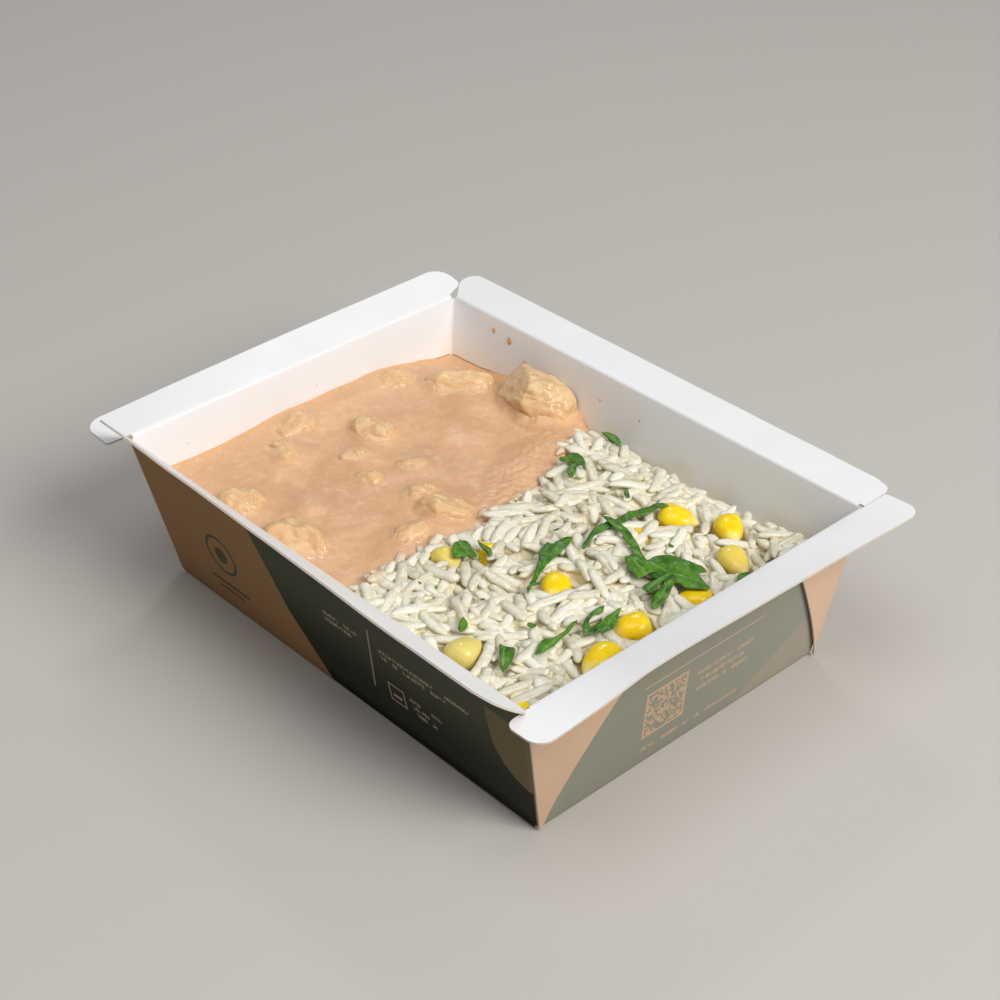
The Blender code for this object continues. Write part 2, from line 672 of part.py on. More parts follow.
def make_leaf(name, points, half_width, widest, heights, material, parent):
    length = sum(math.dist(points[n], points[n + 1]) for n in range(len(points) - 1))
    count = max(int(round(length / LEAF_REACH)), 4)
    line = leaf_line(points, count)
    grid = []
    for n, (x, y) in enumerate(line):
        before, after = line[max(n - 1, 0)], line[min(n + 1, count)]
        run = math.dist(before, after)
        side = (-(after[1] - before[1]) / run, (after[0] - before[0]) / run)
        width = half_width * leaf_width(n / count, widest)
        row = []
        for k in (-1.0, 0.0, 1.0):
            px, py = x + side[0] * width * k, y + side[1] * width * k
            wave = LEAF_WAVE * (1 + math.sin(1.9 * n + 2.2 * k)) * abs(k)
            row.append((px, py, heights.highest(px, py, LEAF_REACH) + GAP + wave))
        grid.append(row)
    rows = count + 1
    verts = [p for row in grid for p in row] + [(x, y, z + LEAF_T) for row in grid for x, y, z in row]
    top = 3 * rows
    faces = []
    for n in range(count):
        for k in range(2):
            a, b, c, d = 3 * n + k, 3 * n + k + 1, 3 * n + k + 4, 3 * n + k + 3
            faces += [(a, c, b), (a, d, c), (top + a, top + b, top + c), (top + a, top + c, top + d)]
        for k in (0, 2):
            a, d = 3 * n + k, 3 * n + k + 3
            faces.append((a, top + a, top + d, d) if k else (a, d, top + d, top + a))
    for n in (0, count):
        for k in range(2):
            a, b = 3 * n + k, 3 * n + k + 1
            faces.append((a, b, top + b, top + a) if n == 0 else (a, top + a, top + b, b))
    leaf = make_object(name, verts, faces, material, parent)
    heights.add([(x, y, z + LEAF_T) for row in grid for x, y, z in row])
    for row_a, row_b in zip(grid, grid[1:]):
        middle = [tuple((p + q) / 2 for p, q in zip(a, b)) for a, b in zip(row_a, row_b)]
        heights.add([(x, y, z + LEAF_T) for x, y, z in middle])
    return leaf


def make_parsley(surface, material, parent):
    heights = HeightMap()
    heights.add(surface)
    for n in range(len(CORN)):
        heights.add(kernel_points(n, 30, 20))
    for n, (points, half_width, widest) in enumerate(PARSLEY):
        make_leaf(f"parsley_{n + 1}", points, half_width, widest, heights, material, parent)


def make_chicken(materials, sauce, parent):
    cutters = []
    for n, chunk in enumerate(CHICKEN):
        sides, rings = (11, 6) if chunk[3] > 8 else (8, 4)
        faces = ball_faces(sides, rings)
        points = chunk_points(n, sides, rings)
        make_object(f"chicken_{n + 1}", points, faces, materials["chicken"], parent)
        pocket = chunk_points(n, sides, rings, CUT_GAP)
        cutters.append(make_object("cutter", pocket, faces, materials["sauce"]))
    combine(sauce, cutters, "DIFFERENCE")
    tidy_mesh(sauce)


def make_corn(material, parent):
    for n in range(len(CORN)):
        make_object(f"corn_{n + 1}", kernel_points(n, 7, 4), ball_faces(7, 4), material, parent)


def main():
    clear_scene()
    materials = {
        "card": make_material("card", (0.82, 0.81, 0.80), 0.6),
        "sauce": make_material("sauce", (0.73, 0.40, 0.24), 0.35),
        "chicken": make_material("chicken", (0.78, 0.52, 0.29), 0.45),
        "rice": make_material("rice", (0.80, 0.79, 0.68), 0.45),
        "corn": make_material("corn", (0.90, 0.60, 0.04), 0.3),
        "parsley": make_material("parsley", (0.06, 0.22, 0.02), 0.5),
    }
    root = bpy.data.objects.new("root", None)
    bpy.context.scene.collection.objects.link(root)
    tray = make_tray(materials["card"], root)
    sauce = make_filling("sauce", sauce_top, True, 15, 18, materials["sauce"], root)
    make_chicken(materials, sauce, root)
    surface = make_rice(materials, root)
    make_corn(materials["corn"], root)
    make_parsley(surface, materials["parsley"], root)
    corners = [tray.matrix_world @ v.co for v in tray.data.vertices]
    for axis in (0, 1):
        low, high = min(c[axis] for c in corners), max(c[axis] for c in corners)
        root.location[axis] = -(low + high) / 2


main()
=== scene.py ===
"""Looks of the ready meal in a card tray: the printed card, the sauce, the chicken and every grain of rice.

Points are worked out in millimetres in the tray's own coordinates, with the middle of its opening at X 0, Y 0,
and become metres in the frame where a mesh is made.
"""

import math

import bmesh
import bpy
import numpy as np
from mathutils import Matrix, Vector, geometry, noise
from mathutils.bvhtree import BVHTree


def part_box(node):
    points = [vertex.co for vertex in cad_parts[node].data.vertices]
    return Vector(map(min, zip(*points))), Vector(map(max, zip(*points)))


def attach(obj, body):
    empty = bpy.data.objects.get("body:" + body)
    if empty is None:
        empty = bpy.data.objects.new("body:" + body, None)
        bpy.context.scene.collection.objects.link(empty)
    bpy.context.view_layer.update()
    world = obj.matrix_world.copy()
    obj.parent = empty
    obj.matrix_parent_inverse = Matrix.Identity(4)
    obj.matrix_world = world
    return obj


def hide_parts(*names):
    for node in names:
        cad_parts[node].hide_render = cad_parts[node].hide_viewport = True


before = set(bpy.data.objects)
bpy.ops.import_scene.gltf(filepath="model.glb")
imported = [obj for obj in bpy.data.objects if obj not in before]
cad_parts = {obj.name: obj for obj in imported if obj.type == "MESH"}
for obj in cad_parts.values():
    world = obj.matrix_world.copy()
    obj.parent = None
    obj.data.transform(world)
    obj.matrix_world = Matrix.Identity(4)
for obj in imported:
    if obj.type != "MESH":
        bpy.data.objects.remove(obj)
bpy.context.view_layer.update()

MM = 0.001
SHIFT = (-0.005, -0.51)            # where the middle of the opening lies in the frame

# Camera, worked out from the corners of the tray
CAMERA_AT = (316.4, -276.7, 315.8)
CAMERA_TURN = 48.31                # degrees round from -Y
CAMERA_RISE = 33.86
CAMERA_ROLL = -1.03
CAMERA_LENS = 73.94                # on a 36 mm sensor

# Tray, with the sizes of its solid
OPEN_L, OPEN_W = 146.0, 108.3
BASE_L, BASE_W = 136.9, 93.0
TRAY_H = 42.6
CARD = 0.5
CORNER_R = 0.8                     # inner radius of an upright corner
FOLD = 0.75                        # how far the round of a fold reaches from its line
FLANGE = 11.5
GAP = 0.3

# How each flange is turned up about its fold: share of the fold's length, degrees
TILT_BACK_END = ((-0.05, 3), (0.0, 5), (0.5, 11), (1.0, 13))
TILT_FRONT_END = ((-0.05, 1), (0.0, 3), (0.1, 7), (0.25, 15), (0.5, 13), (0.8, 9), (0.97, 5), (1.06, 3))
TILT_BACK_SIDE = ((0.0, 4), (0.5, 2.5), (1.0, 1))
TILT_FRONT_SIDE = ((0.0, 50), (0.16, 47.5), (0.32, 45.5), (0.56, 41.5), (0.77, 37.5), (1.0, 36.5))

# Both ends of each flange: reach past the corner, outer radius, inner radius, inner edge's distance out
ENDS_BACK_END = ((5.6, 4.6, 0.9, 0.4), (4.6, 5.5, 1.6, 2.6))
ENDS_FRONT_END = ((6.3, 4.4, 2.6, 0.7), (8.0, 4.6, 0.8, 0.3))
ENDS_BACK_SIDE = ((4.0, 3.6, 1.6, 5.6), (0.2, 4.2, 0.1, 0.2))
ENDS_FRONT_SIDE = ((-0.6, 1.2, 0.4, 0.4), (1.6, 7.5, 1.2, 0.6))

# Sides: corner at which a side starts, along, out, tilts, ends, whether the ring of walls runs against it
SIDES = (
    ((-1, -1), (1, 0), (0, -1), TILT_FRONT_SIDE, ENDS_FRONT_SIDE, False),
    ((1, -1), (0, 1), (1, 0), TILT_FRONT_END, ENDS_FRONT_END, False),
    ((-1, 1), (1, 0), (0, 1), TILT_BACK_SIDE, ENDS_BACK_SIDE, True),
    ((-1, -1), (0, 1), (-1, 0), TILT_BACK_END, ENDS_BACK_END, True),
)

# Corner webs: end, side, reach along the rim, how far each stands proud
WEBS = ((1, -1, 41.5, 0.62), (1, 1, 25.5, 1.25), (-1, -1, 26.5, 0.8), (-1, 1, 26.5, 0.8))

# Food
SAUCE_LEVEL = 29.3
RICE_LEVEL = 29.6
FLOOR_Z = CARD + GAP
BORDER = (
    (-52, 6.0), (-40, 3.0), (-25, 0.5), (-10, 2.5), (5, 1.8),
    (20, -0.8), (34, -6.5), (45, -14.5), (52, -19.5),
)
SUNKEN = (
    (-36, 22, 8, 6, 0.9), (-66, 9, 6, 8, 0.9), (-34, -30, 4, 4, 0.7),
    (-11, 24, 8, 9, 1.0), (-16, 10, 7, 5, 0.5),
)
CHICKEN_COUNT = 14
CORN = (
    (36.2, 30.9, 1.9, 5.3, 4.5, 3.6, 205),
    (48.6, 36.2, 1.6, 5.2, 4.3, 3.6, 150),
    (58.2, 27.4, 1.6, 5.4, 4.2, 3.4, 160),
    (33.6, 20.8, -0.6, 4.6, 3.8, 3.2, 20),
    (58.6, -7.8, 1.4, 4.9, 4.6, 3.9, 60),
    (62.2, -21.2, 0.9, 6.0, 4.4, 3.7, 100),
    (39.2, -41.0, 1.0, 4.9, 4.6, 3.9, 280),
    (9.4, -20.2, 0.6, 4.6, 3.9, 3.5, 170),
    (12.2, -11.0, -0.6, 4.7, 3.9, 3.4, 10),
    (35.2, -9.6, -0.1, 4.9, 4.2, 3.4, 120),
    (60.0, 11.4, 0.2, 4.8, 4.0, 3.4, 45),
    (50.6, 3.4, -1.5, 4.2, 3.6, 3.0, 90),
    (62.2, -44.0, -0.5, 4.6, 4.2, 3.6, 200),
)
GRAIN = (4.1, 1.3, 1.15)           # half length, half width, half thickness

# Parsley: solids that a leaf replaces, the ends of its spine, its outline
LEAVES = (
    ((1,), ((30.8, 3.4), (31.2, 29.9)), (
        (30.4, 3.4), (28.6, 8.1), (27.2, 12.0), (27.7, 15.0), (28.4, 17.3), (28.2, 21.9), (28.5, 26.0),
        (29.8, 28.8), (31.7, 29.9), (34.0, 29.9), (32.9, 27.8), (30.9, 25.4), (30.4, 22.3), (30.3, 18.9),
        (30.2, 15.6), (29.5, 11.9), (29.5, 8.6), (31.6, 3.5),
    )),
    ((2,), ((26.0, 15.8), (46.6, 9.2)), (
        (25.1, 15.6), (28.2, 16.3), (32.6, 15.8), (37.6, 14.7), (44.2, 11.1), (47.5, 10.1), (46.2, 8.0),
        (41.2, 10.6), (37.0, 12.7), (32.4, 13.8), (29.1, 14.1),
    )),
    ((3, 4), ((45.0, 9.2), (60.0, 14.6)), (
        (44.0, 9.0), (46.3, 10.5), (46.0, 12.6), (48.1, 16.4), (50.5, 17.4), (53.8, 18.2), (55.5, 19.4),
        (57.7, 18.1), (56.0, 15.9), (59.2, 15.5), (63.0, 13.7), (61.0, 11.4), (58.3, 10.0), (56.4, 9.9),
        (54.2, 8.7), (53.1, 7.3), (50.9, 7.4), (48.0, 7.9),
    )),
    ((5,), ((42.0, 8.0), (51.0, 5.6)), (
        (41.4, 7.1), (42.9, 9.7), (45.6, 8.6), (49.6, 8.4), (51.3, 8.3), (49.9, 6.4), (48.8, 3.7),
        (46.9, 4.8), (45.7, 4.3), (43.5, 5.6),
    )),
    ((6,), ((54.8, 10.0), (58.8, -1.4)), (
        (55.2, 10.6), (56.9, 7.7), (59.0, 3.4), (59.7, 0.6), (59.5, -1.8), (57.7, -0.8), (55.7, 2.1),
        (55.1, 5.8), (54.2, 8.8),
    )),
    ((6,), ((53.6, 10.6), (54.4, 1.0)), (
        (52.1, 2.2), (53.0, 5.3), (53.3, 7.2), (52.9, 10.2), (53.9, 11.2), (54.7, 6.2), (56.0, 1.5),
        (55.7, 0.5), (53.4, 1.2),
    )),
    ((7,), ((27.2, 3.6), (35.0, -18.0)), (
        (27.4, 3.9), (26.3, 3.0), (25.6, 1.0), (25.6, -1.1), (23.9, -1.2), (24.4, -3.5), (25.7, -6.3),
        (26.5, -6.1), (28.8, -9.1), (30.7, -11.8), (34.3, -17.8), (35.6, -18.5), (33.9, -15.7),
        (31.4, -10.4), (30.0, -6.5), (29.0, -1.5), (28.5, 1.5),
    )),
    ((7,), ((34.2, -18.0), (35.2, -14.2)), (
        (35.1, -18.6), (33.8, -16.8), (35.3, -13.7), (35.5, -15.4), (34.9, -17.1),
    )),
    ((8,), ((8.0, -15.8), (15.6, -17.4)), (
        (7.1, -16.7), (8.7, -14.2), (10.9, -14.4), (13.7, -15.6), (16.5, -17.0), (14.6, -18.2),
        (13.4, -19.0), (12.4, -21.3),
    )),
    ((8,), ((11.8, -12.8), (18.0, -14.0)), (
        (11.6, -12.6), (13.8, -12.7), (15.9, -12.6), (18.6, -13.8), (18.1, -14.8), (15.5, -14.3),
        (13.4, -13.8),
    )),
    ((9,), ((-1.4, 29.0), (6.4, 24.4)), (
        (-2.4, 27.6), (-2.2, 30.6), (-0.2, 32.7), (4.0, 30.8), (5.4, 28.9), (3.6, 28.2), (6.1, 25.5),
        (7.1, 23.0), (4.5, 23.3), (2.4, 27.1), (0.6, 27.9), (-0.7, 26.3),
    )),
    ((10,), ((-5.6, 46.8), (2.2, 45.0)), (
        (-6.3, 47.0), (-5.2, 47.8), (-3.2, 47.1), (-1.7, 47.6), (0.1, 47.0), (2.4, 45.4), (2.5, 44.6),
        (0.3, 44.7), (-2.1, 45.0), (-5.0, 45.5),
    )),
    ((11,), ((50.6, -9.6), (54.6, -18.2)), (
        (50.5, -8.4), (50.1, -10.9), (50.5, -13.8), (51.7, -16.5), (53.2, -18.2), (55.3, -19.5),
        (55.5, -18.1), (56.0, -17.3), (55.6, -15.7), (54.3, -13.2), (54.1, -16.1), (52.2, -15.5),
        (50.9, -12.2), (52.4, -10.8),
    )),
    ((11,), ((54.6, -7.6), (57.6, -16.6)), (
        (54.2, -6.6), (54.5, -9.0), (54.8, -11.9), (55.2, -14.3), (55.4, -16.3), (56.7, -16.7),
        (57.2, -16.1), (59.3, -17.8), (57.6, -15.6), (58.5, -13.7), (57.4, -11.2),
    )),
    ((12,), ((50.8, -17.6), (53.4, -31.0)), (
        (52.9, -32.6), (50.5, -28.2), (51.8, -25.5), (51.4, -22.4), (50.4, -19.2), (50.7, -17.0),
        (51.6, -19.7), (53.1, -24.3), (54.0, -29.2),
    )),
    ((13,), ((45.4, -34.9), (51.4, -40.6)), (
        (44.1, -35.3), (46.1, -34.6), (47.8, -33.5), (50.0, -35.9), (52.8, -41.7), (50.0, -40.5),
    )),
    ((14,), ((33.0, -35.8), (34.8, -38.4)), (
        (32.2, -35.4), (34.8, -35.9), (35.6, -38.1), (34.2, -38.8), (32.9, -37.4),
    )),
    ((15,), ((64.2, 21.8), (64.6, 25.0)), (
        (63.4, 21.6), (63.8, 25.2), (65.2, 25.6), (65.6, 21.4),
    )),
)
# Bits of parsley: x, y, half length, half width, turn in degrees
BITS = (
    (20.9, 28.8, 1.9, 0.6, -35), (44.2, -25.4, 1.1, 0.8, 20), (21.0, 4.5, 0.8, 0.3, 70),
    (43.6, 20.8, 0.9, 0.35, 10), (17.5, -31.0, 0.7, 0.3, 120), (29.0, -26.6, 0.6, 0.3, 60),
)
LEAF_T = 0.3
# Drops of sauce on the +Y wall: x, z, radius
DROPS = ((-55.4, 38.8, 0.7), (-48.9, 38.2, 0.95), (-42.2, 34.4, 0.5), (-13.0, 35.0, 0.35), (1.6, 35.0, 0.35))


# Small tools

def blend_keys(value, keys):
    """A smooth curve through the keys (place, height), which are in order of place."""
    places = [k[0] for k in keys]
    heights = [k[1] for k in keys]
    if value <= places[0]:
        return heights[0]
    if value >= places[-1]:
        return heights[-1]
    i = max(n for n in range(len(places) - 1) if places[n] <= value)

    def slope(n):
        low, high = max(n - 1, 0), min(n + 1, len(places) - 1)
        return (heights[high] - heights[low]) / (places[high] - places[low])

    width = places[i + 1] - places[i]
    t = (value - places[i]) / width
    start = (2 * t**3 - 3 * t**2 + 1) * heights[i] + (t**3 - 2 * t**2 + t) * width * slope(i)
    return start + (3 * t**2 - 2 * t**3) * heights[i + 1] + (t**3 - t**2) * width * slope(i + 1)


def ramp(value):
    t = min(max(value, 0.0), 1.0)
    return t * t * (3 - 2 * t)


def mound(x, y, centre_x, centre_y, radius_x, radius_y):
    return math.exp(-(((x - centre_x) / radius_x) ** 2) - ((y - centre_y) / radius_y) ** 2)


def rough(x, y, z, size, seed=0.0):
    """Smooth noise, -1 to 1, with lumps of this size in millimetres."""
    return noise.noise(Vector((x / size + seed, y / size - seed, z / size + 0.7 * seed)))


def to_frame(point):
    return ((point[0] + SHIFT[0]) * MM, (point[1] + SHIFT[1]) * MM, point[2] * MM)


def add_object(name, data):
    made = bpy.data.objects.new(name, data)
    bpy.context.scene.collection.objects.link(made)
    return made


def make_piece(name, verts, faces, materials, slot, replaced=(), sharp=180, **attributes):
    """A smooth-shaded piece from points in millimetres. An attribute is 0 past the end of its values."""
    mesh = bpy.data.meshes.new(name)
    mesh.from_pydata([to_frame(v) for v in verts], [], faces)
    for material in materials:
        mesh.materials.append(material)
    mesh.validate()
    mesh.shade_smooth()
    mesh.set_sharp_from_angle(angle=math.radians(sharp))
    for label, values in attributes.items():
        values = np.asarray(list(values) + [0.0] * (len(verts) - len(values)), np.float32)
        mesh.attributes.new(label, "FLOAT", "POINT").data.foreach_set("value", values)
    piece = add_object(name, mesh)
    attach(piece, "root")
    if replaced:
        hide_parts(*replaced)
    return piece


def apply_modifiers(piece):
    graph = bpy.context.evaluated_depsgraph_get()
    made = bpy.data.meshes.new_from_object(piece.evaluated_get(graph))
    piece.modifiers.clear()
    piece.data = made


def thicken(piece, thickness, offset, **settings):
    """Gives a sheet its thickness, in millimetres."""
    solid = piece.modifiers.new("thickness", "SOLIDIFY")
    solid.thickness = thickness * MM
    solid.offset = offset
    for name, value in settings.items():
        setattr(solid, name, value)
    apply_modifiers(piece)
    piece.data.shade_smooth()


def soften(grid, rounds):
    """A grid of heights, each evened out with its neighbours."""
    for _ in range(rounds):
        for axis in (0, 1):
            grid = (np.roll(grid, 1, axis) + 2 * grid + np.roll(grid, -1, axis)) / 4
    return grid


def join(shapes):
    """Points and faces of several shapes, as those of one."""
    verts, faces = [], []
    for points, more in shapes:
        faces += [tuple(len(verts) + i for i in face) for face in more]
        verts += points
    return verts, faces


def grid_faces(rows, columns):
    """Faces of a grid of points that lie row by row."""
    step = columns + 1
    starts = [row * step + column for row in range(rows) for column in range(columns)]
    return [(a, a + 1, a + step + 1, a + step) for a in starts]


def flip(face):
    return face[:1] + face[:0:-1]


def ball_faces(sides, rings):
    """Faces of a ball, whose points are a pole, some rings, and the other pole."""
    last = 1 + sides * rings
    pairs = [(n, (n + 1) % sides) for n in range(sides)]
    faces = [(0, 1 + n, 1 + m) for n, m in pairs]
    for a in range(1, last - sides, sides):
        faces += [(a + n, a + sides + n, a + sides + m, a + m) for n, m in pairs]
    return faces + [(last, last - sides + m, last - sides + n) for n, m in pairs]


# Materials

class Term:
    """A value in a material's nodes, which is added, multiplied and compared as a number is."""

    def __init__(self, shade, socket):
        self.shade, self.socket = shade, socket

    def __add__(self, other):
        return self.shade.math("ADD", self, other)

    def __sub__(self, other):
        return self.shade.math("SUBTRACT", self, other)

    def __rsub__(self, other):
        return self.shade.math("SUBTRACT", other, self)

    def __mul__(self, other):
        return self.shade.math("MULTIPLY", self, other)

    def __pow__(self, other):
        return self.shade.math("POWER", self, other)

    def __gt__(self, other):
        return self.shade.math("GREATER_THAN", self, other)

    def __lt__(self, other):
        return self.shade.math("LESS_THAN", self, other)

    def __or__(self, other):
        return self.shade.math("MAXIMUM", self, other)

    def band(self, low, high, out_low=0.0, out_high=1.0):
        """Maps low..high to out_low..out_high, smoothly, and holds it outside."""
        inputs = dict(enumerate((self, low, high, out_low, out_high)))
        return self.shade.node("MapRange", inputs, interpolation_type="SMOOTHSTEP")


class Shade:
    """A material, with short calls for the nodes that it is made of."""

    def __init__(self, name, colour, roughness, bend=1.45):
        self.material = bpy.data.materials.new(name)
        self.material.use_nodes = True
        self.material.diffuse_color = (*colour, 1.0)
        self.tree = self.material.node_tree
        self.set(Base_Color=colour, Roughness=roughness, IOR=bend)

    def put(self, socket, value):
        if isinstance(value, Term):
            self.tree.links.new(value.socket, socket)
        else:
            socket.default_value = (*value, 1.0) if socket.type == "RGBA" else value

    def set(self, **values):
        for name, value in values.items():
            self.put(self.tree.nodes["Principled BSDF"].inputs[name.replace("_", " ")], value)

    def node(self, kind, inputs, output=0, **settings):
        """A new node with these inputs and settings, as the value of one of its outputs."""
        made = self.tree.nodes.new("ShaderNode" + kind)
        for name, value in settings.items():
            setattr(made, name, value)
        for key, value in inputs.items():
            self.put(made.inputs[key], value)
        return Term(self, made.outputs[output])

    def math(self, operation, *values):
        return self.node("Math", dict(enumerate(values)), operation=operation)

    def place(self):
        """Object coordinates in millimetres."""
        coords = self.node("TexCoord", {}, "Object")
        return self.node("VectorMath", {0: coords, "Scale": 1 / MM}, operation="SCALE")

    def stretch(self, vector, scale):
        return self.node("Mapping", {"Vector": vector, "Scale": scale})

    def noise(self, vector, size, detail=3.0, roughness=0.55):
        """Noise, 0 to 1, with lumps of this size in millimetres."""
        inputs = {"Vector": vector, "Scale": 1 / size, "Detail": detail, "Roughness": roughness}
        return self.node("TexNoise", inputs, "Fac")

    def cells(self, vector, size):
        return self.node("TexVoronoi", {"Vector": vector, "Scale": 1 / size}, "Distance")

    def random(self, u, v, size_u, size_v):
        """A random value, 0 to 1, for each cell of a grid."""
        cell = [self.math("FLOOR", self.math("DIVIDE", *pair)) for pair in ((u, size_u), (v, size_v))]
        join_up = self.node("CombineXYZ", dict(enumerate(cell)))
        return self.node("TexWhiteNoise", {"Vector": join_up}, "Value", noise_dimensions="2D")

    def attribute(self, name):
        return self.node("Attribute", {}, "Fac", attribute_name=name)

    def mix(self, factor, first, second):
        return self.node("Mix", {"Factor": factor, 6: first, 7: second}, 2, data_type="RGBA")

    def coat(self, colour, *coats):
        """Lays coats over the colour, each with how far it covers and its own colour."""
        for cover, paint in coats:
            colour = self.mix(cover, colour, paint)
        return colour

    def finish(self, colour, roughness, relief, **settings):
        """The material, with its relief given as height, distance in millimetres and strength."""
        height, distance, strength = relief
        bump = self.node("Bump", {"Strength": strength, "Distance": distance * MM, "Height": height})
        self.set(Base_Color=colour, Roughness=roughness, Normal=bump, **settings)
        return self.material


def tone(colour, share):
    return tuple(c * share for c in colour)


KRAFT = (0.52, 0.355, 0.235)
KRAFT_SHADED = (0.31, 0.17, 0.075)   # of the -Y wall: the card with painted shade, darker and warmer
# the card with painted light
KRAFT_LIT = (0.90, 0.64, 0.47)
# the ink of the -Y wall, with painted shade
GREEN = (0.072, 0.080, 0.056)
# the same ink on the +X wall, lighter with a painted sheen
GREEN_WITH_SHEEN = (0.245, 0.248, 0.195)
BROWN_GREEN = (0.30, 0.275, 0.22)
# bare card at the right end of the -Y wall, with painted shade, darker and greener still
BARE_CORNER = (0.145, 0.125, 0.072)
PALE_INK = (0.40, 0.31, 0.235)
WHITE = (0.86, 0.865, 0.88)
STAIN = (0.80, 0.52, 0.33)           # of sauce on rice


def kraft_material(name, print_layers):
    """Brown card: soft clouds, short fibres darker and lighter than the rest, and ink worn thin over them."""
    shade = Shade(name, KRAFT, 0.75)
    where = shade.place()
    fibres = shade.noise(shade.stretch(where, (1.0, 1.0, 3.0)), 0.35, 4.0, 0.7)
    colour = shade.coat(
        shade.mix(shade.noise(where, 6.0, 2.0), tone(KRAFT, 0.93), tone(KRAFT, 1.07)),
        (fibres.band(0.30, 0.44, 0.35, 0.0), tone(KRAFT, 0.6)),
        (fibres.band(0.58, 0.72, 0.0, 0.4), tone(KRAFT, 1.35)),
    )
    cover = shade.noise(where, 0.5, 3.0, 0.7).band(0.22, 0.42, 0.82, 0.97)
    x, y, z = (shade.node("SeparateXYZ", {0: where}, axis) for axis in range(3))
    for mask, ink in print_layers(shade, x, y, z):
        colour = shade.mix(cover * mask, colour, ink)
    return shade.finish(
        colour, fibres.band(0.3, 0.7, 0.7, 0.85), (fibres, 0.06, 0.5), Specular_IOR_Level=0.15,
    )


def box(u, v, low, high):
    return (u > low[0]) * (u < high[0]) * (v > low[1]) * (v < high[1])


def right_of(u, v, first, second):
    """The side to the right of the line that runs from the first point to the second."""
    run, rise = second[0] - first[0], second[1] - first[1]
    return (u - first[0]) * rise - (v - first[1]) * run > 0.0


def distance(u, v, centre):
    return ((u - centre[0]) ** 2.0 + (v - centre[1]) ** 2.0) ** 0.5


def words(shade, u, v, rows, height=1.2):
    """Rows (start, end, foot) of upright strokes with gaps, as small print looks from a step away."""
    masks = u * 0.0
    for n, (start, end, foot) in enumerate(rows):
        along = u + (31.7 * n + foot)
        strokes = shade.random(along, v, 0.42, 0.6).band(0.25, 0.45, 0.0, 0.8)
        gaps = shade.random(along, 0.0, 1.9, 1.0) > 0.18
        masks = masks | strokes * gaps * box(u, v, (start, foot), (end, foot + height))
    return masks


def ring_mark(u, v, centre, radius, width):
    """A ring round a filled dot."""
    reach = distance(u, v, centre)
    return (reach > radius - width) * (reach < radius) | (reach < radius * 0.4)


def frame_mark(u, v, low, high, width):
    inner = box(u, v, (low[0] + width, low[1] + width), (high[0] - width, high[1] - width))
    return box(u, v, low, high) * (1.0 - inner)


def front_print(shade, x, y, z):
    """The -Y wall, whose card and inks carry painted shade: bare card with a round mark at its left, a dark field
    with small print at its right.
    """
    u, v = x - SHIFT[0], z
    corner = (v > 25.4) | (distance(u, v, (71.0, 25.4)) < 12.3)
    bare = (u > 58.7) * (v < 34.0) * corner
    field = right_of(u, v, (-3.6, 0.0), (-16.0, 16.8)) * right_of(u, v, (-16.0, 16.8), (-24.6, 37.0))
    field = field * (1.0 - bare)
    slant = (v - 11.4) * 0.15 + 15.0
    line = (u > slant) * (u < slant + 0.5) * (v > 11.4) * (v < 31.6)
    rows = words(shade, u, v, (
        (0.5, 13.0, 26.0), (0.5, 10.5, 24.0), (21.0, 52.0, 26.0), (21.0, 44.0, 24.0),
        (29.0, 40.0, 15.2), (29.0, 37.5, 13.2), (29.0, 39.0, 11.2),
    ))
    icon = frame_mark(u, v, (21.2, 11.0), (27.0, 16.8), 0.45) | box(u, v, (22.6, 12.8), (25.6, 13.8))
    bars = box(u, v, (-51.0, 8.6), (-35.0, 9.6)) | box(u, v, (-48.0, 6.4), (-38.0, 7.2))
    # Painted shade: the dark field darkens further towards the foot of the wall.
    low = v.band(2.0, 9.0, 1.0, 0.0) | v.band(9.0, 34.0, 0.72, 0.0)
    return (
        (1.0, KRAFT_SHADED), (bare * 0.85, BARE_CORNER), (field, GREEN), (field * low, tone(GREEN, 0.12)),
        (line | rows | icon, PALE_INK), (ring_mark(u, v, (-43.0, 19.5), 6.2, 0.9) | bars, GREEN),
    )


def end_print(shade, x, y, z):
    """The +X wall: a dark panel with a square of random cells, small print and a thin line."""
    u, v = y - SHIFT[1], z
    front = x > 0.0
    patch = right_of(u, v, (22.2, 4.3), (38.3, 13.6)) * (v < 14.0) * (v > 1.0)
    square = (-15.0, 8.6), (-1.4, 22.6)
    code = frame_mark(u, v, *square, 0.6) | box(u, v, *square) * (shade.random(u, v, 0.66, 0.66) > 0.5)
    line = box(u, v, (-16.0, 25.0), (24.0, 25.4))
    rows = words(shade, u, v, (
        (2.0, 21.0, 18.8), (2.0, 18.0, 16.2), (2.0, 20.0, 13.6), (-15.0, 18.0, 4.4),
    ))
    return (
        # The panel's green carries a painted sheen.
        (front * (v < 41.4), GREEN_WITH_SHEEN), (front * v.band(26.0, 34.0, 0.0, 0.5), BROWN_GREEN),
        # The second coat on the next line is painted light: a white that lightens the wall towards +Y.
        (front * (patch * 0.25), KRAFT), (front * u.band(-20.0, 50.0, 0.0, 0.07), WHITE),
        (front * (code | line | rows), KRAFT),
    )


def web_print(shade, x, y, z):
    """No print: bare card, paler towards +Y with painted light."""
    return ((y.band(-55.0, 45.0, 0.12, 0.45), KRAFT_LIT),)


def white_material():
    """The coated side of the card, smeared with sauce near the food and with a few specks on the walls."""
    shade = Shade("card_white", WHITE, 0.42)
    where = shade.place()
    z = shade.node("SeparateXYZ", {0: where}, 2)
    clouds = shade.noise(where, 14.0, 3.0)
    colour = shade.coat(
        shade.mix(clouds, tone(WHITE, 0.975), WHITE),
        (z.band(25.0, 36.0, 0.5, 0.0) * shade.noise(where, 9.0).band(0.35, 0.65), (0.86, 0.73, 0.55)),
        ((z < 41.0) * shade.cells(where, 6.0).band(0.025, 0.05, 0.7, 0.0), (0.50, 0.38, 0.26)),
    )
    grain = shade.noise(where, 0.5, 4.0, 0.6)
    return shade.finish(colour, clouds.band(0.3, 0.7, 0.36, 0.5), (grain, 0.03, 0.4))


